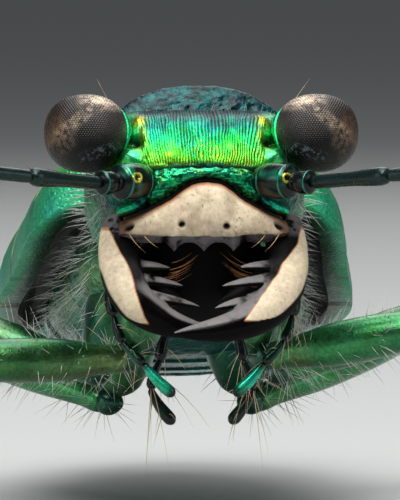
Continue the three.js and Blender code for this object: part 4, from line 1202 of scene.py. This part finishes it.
def make_prothorax():
    share = np.linspace(0.02, 1, 90)
    rounded = COLLAR_ROUND * (1 - np.sqrt(1 - share**2)) - PROTHORAX_LENGTH
    behind = np.linspace(COLLAR_ROUND - PROTHORAX_LENGTH, 0, 220)[1:]
    shrink = np.concatenate([share, np.ones(len(behind))])[:, None, None]
    y = np.concatenate([rounded, behind])
    rings = trunk(y, prothorax_half, prothorax_top, prothorax_bottom, 2.3, 420)
    middle = rings.mean(axis=1, keepdims=True)
    rings = middle + (rings - middle) * shrink
    x, along, z = np.moveaxis(rings, -1, 0)
    upper = ease(z, -0.2, 0.3)
    wrinkle = rough_noise(rings * (0.8, 1.3, 1), 0.075, 81)
    height = (0.012 + 0.01 * ease(along, -2.3, -1.8)) * wrinkle * upper
    height = height + 0.006 * rough_noise(rings, 0.05, 83)
    height -= 0.02 * ease(np.abs(x), 0.04, 0.0) * upper * ease(along, -2.35, -2.1)
    # Painted shade: the front of the prothorax, under the head, stays dark and turns brighter green behind.
    dark = metal_tint(rings, (0.0, 0.012, 0.016), (0.001, 0.06, 0.06), 0.08, 85, 0.5)
    bright = metal_tint(rings, (0.0, 0.12, 0.07), (0.03, 0.36, 0.16), 0.09, 85, 0.36)
    tint = mixed(dark, bright, ease(along, -2.3, -1.5))
    side_glow = ease(np.abs(z + 0.1), 0.6, 0.2) * ease(np.abs(x), 0.9, 1.2)
    tint[..., :3] = mixed(tint[..., :3], (0.2, 0.26, 0.07), 0.35 * side_glow * ease(wrinkle, -0.3, 0.4))
    made = raised(rings, height)
    piece("prothorax_skin", skin(made, tint), BODY, TRUNK_GREEN, "green_cuticle", "prothorax")
    flank = lambda p, n: (np.abs(n[..., 0]) > 0.55) & (p[..., 2] < 0.45) & (p[..., 2] > -0.9)
    coat = grown(made, 210, flank, (0, -0.2, 0.1), (0.15, 0.42), COAT_RADIUS, WHITE_HAIR, sag=0.12)
    piece("prothorax_hair", coat, BODY, HAIR, "green_cuticle")


def make_thorax():
    y = np.linspace(GAP * 0.2, THORAX_END + 0.1, 160)
    half = lambda q: np.minimum(elytra_half(q) - SHELL - GAP - 0.05, 0.95 + 1.6 * q)
    top = lambda q: np.minimum(elytra_crest(q) - SHELL - 2 * GAP - 0.05, 0.35 + q)
    rings = trunk(y, half, top, thorax_bottom, 2.3, 260)
    groove = ease(np.abs(rings[..., 1] - 1.9 - 0.3 * rings[..., 2]), 0.06, 0.0)
    height = 0.02 * rough_noise(rings, 0.12, 91) - 0.05 * groove
    made = raised(rings, height)
    tint = metal_tint(rings, (0.02, 0.15, 0.08), (0.12, 0.25, 0.1), 0.7, 93)
    belly = ease(rings[..., 2], -0.9, -1.3)
    tint[..., :3] = mixed(tint[..., :3], (0.0, 0.22, 0.2), 0.8 * belly)
    waist = np.linspace(-0.35, 0.6, 20)  # from inside the prothorax to inside the thorax
    waist_rings = trunk(waist, *(lambda q, size=size: size + 0 * q for size in WAIST_SIZES), 2.2, 120)
    waist_skin = skin(raised(waist_rings, 0.01 * rough_noise(waist_rings, 0.1, 94)))
    shapes = [skin(made, tint), waist_skin.painted(*WAIST_DARK)]
    piece("thorax_skin", together(shapes), BODY, TRUNK_GREEN, "copper_green_cuticle", "thorax")
    flank = lambda p, n: (np.abs(n[..., 0]) > 0.4) & (p[..., 2] < -0.1)
    coat = grown(made, 420, flank, (0, 0.5, -0.2), (0.2, 0.45), COAT_RADIUS, WHITE_HAIR, sag=0.15)
    piece("thorax_hair", coat, BODY, HAIR, "copper_green_cuticle")


def make_abdomen():
    start = THORAX_END + GAP * 0.4
    y = np.linspace(start, ABDOMEN_END, 260)
    share = (y - start) / (ABDOMEN_END - start) * 6 % 1
    tuck = 0.07 * held(1 - 6 * share) + 0.03 * share
    half = lambda q: np.maximum(0.25, elytra_half(q) - SHELL - GAP - 0.08) - tuck
    top = lambda q: elytra_crest(q) - SHELL - 2 * GAP - 0.16
    rings = trunk(y, half, top, lambda q: abdomen_fall(q) + tuck, 2.2, 240)
    made = raised(rings, 0.006 * rough_noise(rings, 0.08, 95))
    tint = metal_tint(rings, (0.0, 0.1, 0.1), (0.01, 0.3, 0.22), 0.4, 97, 0.26)
    tint[..., :3] *= (1 - 0.7 * ease(share, 0.12, 0.0))[:, None, None]
    piece("abdomen_skin", skin(made, tint), BODY, LEG_COPPER, "copper_green_cuticle", "abdomen")
    flank = lambda p, n: (np.abs(n[..., 0]) > 0.35) & (p[..., 2] < -0.5)
    coat = grown(made, 500, flank, (0, 1.2, -0.1), (0.15, 0.35), 0.005, sag=0.1, tint=WHITE_HAIR)
    piece("abdomen_hair", coat, BODY, HAIR, "copper_green_cuticle")


ELYTRA_SPOTS = (  # along the body, share of the way from the seam to the edge, radius
    (0.95, 0.9, 0.13), (2.9, 0.93, 0.14), (4.6, 0.92, 0.2), (6.3, 0.88, 0.2), (7.75, 0.55, 0.17),
    (5.0, 0.5, 0.24),
)
TIP_ROUND = 0.35  # length over which the end of each wing case is rounded and closed
ARC_COLUMNS = 150
RIM_COLUMNS = 50
ARC_POWER = 0.82


def elytron_rings(side):
    y = ELYTRA_START + (ELYTRA_END - ELYTRA_START) * (1 - np.cos(np.pi * np.linspace(0.0, 1, 250))) / 2
    tip = np.sqrt(1 - 0.7 * held((y - ELYTRA_END + TIP_ROUND) / TIP_ROUND) ** 2)[:, None]
    half, crest, edge = elytra_half(y)[:, None] * tip, elytra_crest(y)[:, None], elytra_edge(y)[:, None]
    thick = np.minimum(np.minimum(SHELL, 0.6 * (crest - edge)), 0.75 * half) * 0.7
    closed = 0.98 * np.minimum(crest - edge, half)
    thick = thick + (closed - thick) * ease(y, ELYTRA_END - TIP_ROUND, ELYTRA_END - 0.05)[:, None]

    def arc(inset, angles):
        across = (half - inset) * np.abs(np.sin(angles)) ** ARC_POWER
        up = edge + (crest - edge - inset) * np.abs(np.cos(angles)) ** ARC_POWER
        return stacked(side * np.maximum(across, 0.008), y[:, None], up)

    outer = arc(0, np.linspace(0, math.pi / 2, ARC_COLUMNS)[None])
    inner = arc(thick, np.linspace(math.pi / 2, 0, RIM_COLUMNS)[None])
    return np.concatenate([outer, inner], axis=1)


def make_elytra():
    for name, side in SIDES:
        rings = elytron_rings(side)
        x, y, _ = np.moveaxis(rings, -1, 0)
        across = np.abs(x) / np.maximum(elytra_half(y), 0.1)
        is_outer = np.arange(rings.shape[1]) < ARC_COLUMNS
        height = (0.012 * rough_noise(rings, 0.5, 101) + 0.003 * rough_noise(rings, 0.06, 102)) * is_outer
        seam = ease(np.abs(x), 0.14, 0.0)
        height = height + 0.02 * seam * is_outer - 0.03 * ease(np.abs(x), 0.04, 0.0) * is_outer
        cloud = ease(rough_noise(rings, 0.6, 103), -0.4, 0.4)
        colour = layered(
            mixed((0.02, 0.24, 0.06), (0.05, 0.42, 0.09), cloud),
            ((0.01, 0.3, 0.2), 0.7 * ease(across, 0.9, 1.0)),
            ((0.16, 0.2, 0.05), 0.8 * seam),
        )
        rough = np.full(x.shape, 0.42)
        wobble = 1 + 0.15 * noise(rings, 0.2, 105)
        for at, share, radius in ELYTRA_SPOTS:
            sideways = (np.abs(x) - share * elytra_half(np.array(at))) * (1.2 if share < 0.8 else 0.9)
            away = np.hypot(y - at, sideways) / (radius * wobble)
            cream = ease(away, 1.05, 0.9)
            near = ease(away, 2.6 if share == 0.5 else 1.5, 1.0)
            colour = layered(colour, ((0.01, 0.06, 0.03), 0.75 * near), ((0.52, 0.47, 0.33), cream))
            rough = np.maximum(rough, 0.42 + 0.26 * cream)
        tint = tinted(mixed(colour, (0.02, 0.03, 0.02), 1.0 - is_outer), rough)
        shape = skin(raised(rings, height), tint)
        piece(f"elytron_shell_{name}", shape, BODY, SHELL_GREEN, "wing_cases", f"elytron_{name}")


def make_scutellum():
    share = np.linspace(0, 1, 40)
    y = ELYTRA_START + share * 0.85
    half = 0.5 * (1 - 0.85 * share)
    a = 2 * math.pi * np.arange(48) / 48
    z = (elytra_crest(y) - 0.18)[:, None] + 0.24 * squared_off(np.sin(a), 0.67)
    rings = stacked(half[:, None] * squared_off(np.cos(a), 0.67), y[:, None], z)
    tint = metal_tint(rings, (0.02, 0.2, 0.07), (0.1, 0.28, 0.06), 0.4, 111)
    made = raised(rings, 0.006 * rough_noise(rings, 0.06, 112))
    piece("scutellum_plate", skin(made, tint), BODY, TRUNK_GREEN, "green_cuticle", "scutellum")


# Legs: coxa and root in the body's frame, then knee, ankle and tip on the floor's frame
LEGS = {
    "front": (
        (0.55, -1.15, -0.75), (0.85, -1.25, -2.35), (3.7, 1.2, 3.3), (4.85, 0.1, 0.44), (6.3, -2.5, 0.2)
    ),
    "front_right": (
        (0.55, -1.15, -0.75), (0.85, -1.25, -2.35), (3.85, 1.1, 2.75), (5.7, -0.1, 0.44), (7.35, -2.5, 0.2)
    ),
    "middle": ((0.85, 1.0, -1.0), (1.2, 1.2, -2.1), (4.55, 5.75, 3.3), (6.15, 7.1, 0.44), (8.2, 9.5, 0.2)),
    "hind": ((0.72, 2.95, -1.0), (0.95, 3.3, -2.15), (4.6, 9.7, 2.85), (6.9, 12.9, 0.44), (9.0, 16.5, 0.2)),
}
HIP_WIDTHS = ((0, 0.36), (0.3, 0.46), (0.7, 0.38), (1, 0.24))
PIVOT_WIDTHS = ((0, 0.12), (0.5, 0.2), (1, 0.17))
FEMUR_WIDTHS = (
    (0, 0.1), (0.03, 0.2), (0.1, 0.21), (0.3, 0.31), (0.55, 0.32), (0.82, 0.21), (0.94, 0.2), (1, 0.12)
)
TIBIA_WIDTHS = ((0, 0.1), (0.04, 0.15), (0.15, 0.12), (0.6, 0.125), (0.93, 0.16), (1, 0.12))
TARSUS_JOINTS = (0.4, 0.2, 0.14, 0.1, 0.16)
TARSUS_WIDTHS = ((0, 0.5), (0.15, 0.66), (0.8, 1), (1, 0.8))  # as shares of each joint's radius
TARSUS_HEIGHT = 0.1
TARSUS_OVERLAP = 0.012
SPUR_WIDTHS = ((0, 0.035), (1, 0.008))
CLAW_WIDTHS = ((0, 0.045), (0.5, 0.035), (1, 0.008))

SOLE_HAIR = (0.35, 0.3, 0.22, 0.4)
SPUR_HORN = (0.12, 0.08, 0.03, 0.3)
CLAW_HORN = (0.1, 0.04, 0.015, 0.2)


def leg_tint(rings, bright):
    """Green-black with a bright green or coppery bloom in patches."""
    tint = metal_tint(rings, 0.45 * np.array(bright), bright, 0.8, 121, 0.3)
    copper = ease(rough_noise(rings, 1.4, 122), -0.1, 0.6)
    tint[..., :3] = mixed(tint[..., :3], (0.2, 0.15, 0.05), 0.4 * copper)
    return tint


def coat_on(rings, along, count, lengths, lean):
    return grown(rings, count, anywhere, lean * along, lengths, COAT_RADIUS, WHITE_HAIR, sag=0.05)


def leg_piece(kind, place, name, shapes, *nodes, material=LEG_COPPER):
    whole = together(shapes)
    nodes = [f"{node}_{place}_{name}" for node in nodes]
    piece(f"{kind}_{place}_{name}", whole, WORLD, material, "copper_green_cuticle", *nodes)


def make_leg(place, name, side):
    stance = LEGS.get(f"{place}_{name}", LEGS[place])
    coxa, root, knee, ankle, tip = (np.array(p) * (side, 1, 1) for p in stance)
    coxa, root = BODY.world(coxa), BODY.world(root)
    knee, ankle, tip = GROUND.world(knee), GROUND.world(ankle), GROUND.world(tip)
    down, thigh_way, shin_way = unit(root - coxa), unit(knee - root), unit(ankle - knee)
    hip = limb([coxa - 0.1 * down, root - 0.12 * down], HIP_WIDTHS, 50, 48, caps=(0.3, 0.5))
    hip_tint = metal_tint(hip, (0.005, 0.07, 0.04), (0.05, 0.17, 0.06), 0.7, 123)
    shapes = [skin(raised(hip, 0.006 * rough_noise(hip, 0.08, 124)), hip_tint)]
    leg_piece("coxa_cone", place, name, shapes, "coxa")
    pivot = limb([root - 0.16 * thigh_way - 0.05 * down, root + 0.3 * thigh_way], PIVOT_WIDTHS, 30, 30)
    thigh = limb([root + 0.06 * thigh_way, knee], FEMUR_WIDTHS, 90, 48, 0.9, caps=(0.3, 0.7))
    shapes = [skin(pivot).painted(0.02, 0.08, 0.05, 0.25), skin(thigh, leg_tint(thigh, (0.04, 0.24, 0.08)))]
    leg_piece("femur_joint", place, name, shapes, "femur")
    shin = limb([knee - 0.02 * shin_way, ankle], TIBIA_WIDTHS, 80, 32, caps=(0.6, 0.4))
    across = unit(np.cross(shin_way, (0, 0, 1)))
    shapes = [skin(shin, leg_tint(shin, (0.15, 0.2, 0.07)))]
    for turn in (-1, 1):
        start = ankle - 0.1 * shin_way + 0.08 * turn * across
        spur = limb([start, start + 0.3 * shin_way + 0.16 * turn * across], SPUR_WIDTHS, 16, 10)
        shapes.append(skin(spur).painted(*SPUR_HORN))
    leg_piece("tibia_joint", place, name, shapes, "tibia")
    make_tarsus(place, name, ankle, tip)
    coats = [
        coat_on(thigh, thigh_way, 170, (0.2, 0.5), 0.6),
        coat_on(shin, shin_way, 130, (0.12, 0.28), 1.0),
        coat_on(hip, down, 34, (0.15, 0.35), 0.3),
    ]
    leg_piece("leg_hair", place, name, coats, material=HAIR)


def level(point):
    """The point of a foot above or below a point, in the middle of the foot's height."""
    return point * (1, 1, 0) + (0, 0, TARSUS_HEIGHT)


def make_tarsus(place, name, ankle, tip):
    way = unit((tip - ankle) * (1, 1, 0))
    heel = ankle - (0, 0, 0.03)
    toe = level(tip)
    shapes, coats, reach = [], [], 0.0
    for i, length in enumerate(TARSUS_JOINTS):
        low = level(heel + (toe - heel) * (reach - TARSUS_OVERLAP)) if i else heel
        reach += length
        high = level(heel + (toe - heel) * reach)
        radius = 0.095 - 0.006 * i
        widths = [(share, part * radius) for share, part in TARSUS_WIDTHS]
        rings = limb([low, high], widths, 34, 20, 0.85, caps=(0.4, 0.6))
        shapes.append(skin(rings, leg_tint(rings, (0.06, 0.3, 0.16))))
        upper = lambda p, n: n[..., 2] > -0.1
        coats.append(grown(rings, 26, upper, 1.1 * way, (0.07, 0.16), 0.0045, SOLE_HAIR))
    across = np.array([-way[1], way[0], 0])
    for turn in (-1, 1):
        path = [
            toe - 0.05 * way,
            toe + 0.2 * way + 0.09 * turn * across + (0, 0, 0.02),
            toe + 0.42 * way + 0.2 * turn * across - (0, 0, 0.06),
        ]
        shapes.append(skin(limb(path, CLAW_WIDTHS, 26, 14)).painted(*CLAW_HORN))
    leg_piece("tarsus_joints", place, name, shapes, "tarsus")
    leg_piece("tarsus_hair", place, name, coats, material=HAIR)


# Stage
CAMERA_AZIMUTH = -3
CAMERA_ELEVATION = HEAD_TILT
VIEW_WIDTH = 5.1  # of the frame at the eyes
VIEW_HEIGHT = VIEW_WIDTH * PICTURE[1] / PICTURE[0]
CAMERA_DISTANCE = 58
SENSOR = 36
AIM = (-0.05, 0.3, -0.64)  # what the middle of the frame looks at, in the head's frame
FLOOR_REACH = 1.5  # in metres
FLOOR_COLOUR = (0.4, 0.41, 0.4, 1)
SKY_COLOUR = (0.85, 0.9, 0.95, 1)
SKY_STRENGTH = 0.16
FACE_AIM = (0, -6, 4)
BACK_AIM = (0, 0, 3)
LIGHTS = {  # place, aim, width across and power
    "key": ((-10, -42, 64), FACE_AIM, 55, 0.06),
    "left": ((-70, -35, 20), FACE_AIM, 50, 0.01),
    "right": ((70, -35, 25), FACE_AIM, 50, 0.01),
    "back": ((10, 60, 60), BACK_AIM, 60, 0.02),
    "top": ((0, -4, 70), FACE_AIM, 70, 0.045),
}


def make_floor():
    points = [(x * FLOOR_REACH, y * FLOOR_REACH, 0) for x, y in ((-1, -1), (1, -1), (1, 1), (-1, 1))]
    mesh = bpy.data.meshes.new("floor")
    mesh.from_pydata(points, [], [(0, 1, 2, 3)])
    floor = bpy.data.objects.new("floor", mesh)
    bpy.context.scene.collection.objects.link(floor)
    finish = Finish("pale_floor", Roughness=0.9)
    finish.shader.inputs["Base Color"].default_value = FLOOR_COLOUR
    mesh.materials.append(finish.material)


def make_light(name, where, aim, width, power):
    data = bpy.data.lights.new(name, "AREA")
    data.shape = "DISK"
    data.size = width * MM
    data.energy = power
    light = bpy.data.objects.new(name, data)
    bpy.context.scene.collection.objects.link(light)
    light.location = Vector(where) * MM
    light.rotation_euler = (Vector(aim) * MM - light.location).to_track_quat("-Z", "Y").to_euler()


def make_stage():
    make_floor()
    world = bpy.data.worlds.new("studio")
    bpy.context.scene.world = world
    world.use_nodes = True
    world.node_tree.nodes["Background"].inputs["Color"].default_value = SKY_COLOUR
    world.node_tree.nodes["Background"].inputs["Strength"].default_value = SKY_STRENGTH
    for name, light in LIGHTS.items():
        make_light(name, *light)
    make_camera()


def make_camera():
    camera = bpy.data.cameras.new("camera")
    holder = bpy.data.objects.new("camera", camera)
    bpy.context.scene.collection.objects.link(holder)
    a, e = math.radians(CAMERA_AZIMUTH), math.radians(CAMERA_ELEVATION)
    back = Vector((math.sin(a) * math.cos(e), -math.cos(a) * math.cos(e), math.sin(e)))
    holder.location = (Vector(HEAD.world(AIM)) + back * CAMERA_DISTANCE) * MM
    holder.rotation_euler = (-back).to_track_quat("-Z", "Y").to_euler()
    camera.sensor_width = SENSOR
    camera.lens = SENSOR * CAMERA_DISTANCE / VIEW_HEIGHT
    camera.clip_start = 0.001
    camera.clip_end = 10
    bpy.context.scene.camera = holder
    bpy.context.scene.view_settings.view_transform = "Standard"


make_head()
make_eyes()
make_labrum()
make_clypeus()
for side_name, side_sign in SIDES:
    make_mandible(side_name, side_sign)
make_mouth()
make_palps()
make_antennae()
make_prothorax()
make_thorax()
make_abdomen()
make_elytra()
make_scutellum()
for leg_place in PLACES:
    for side_name, side_sign in SIDES:
        make_leg(leg_place, side_name, side_sign)
make_stage()
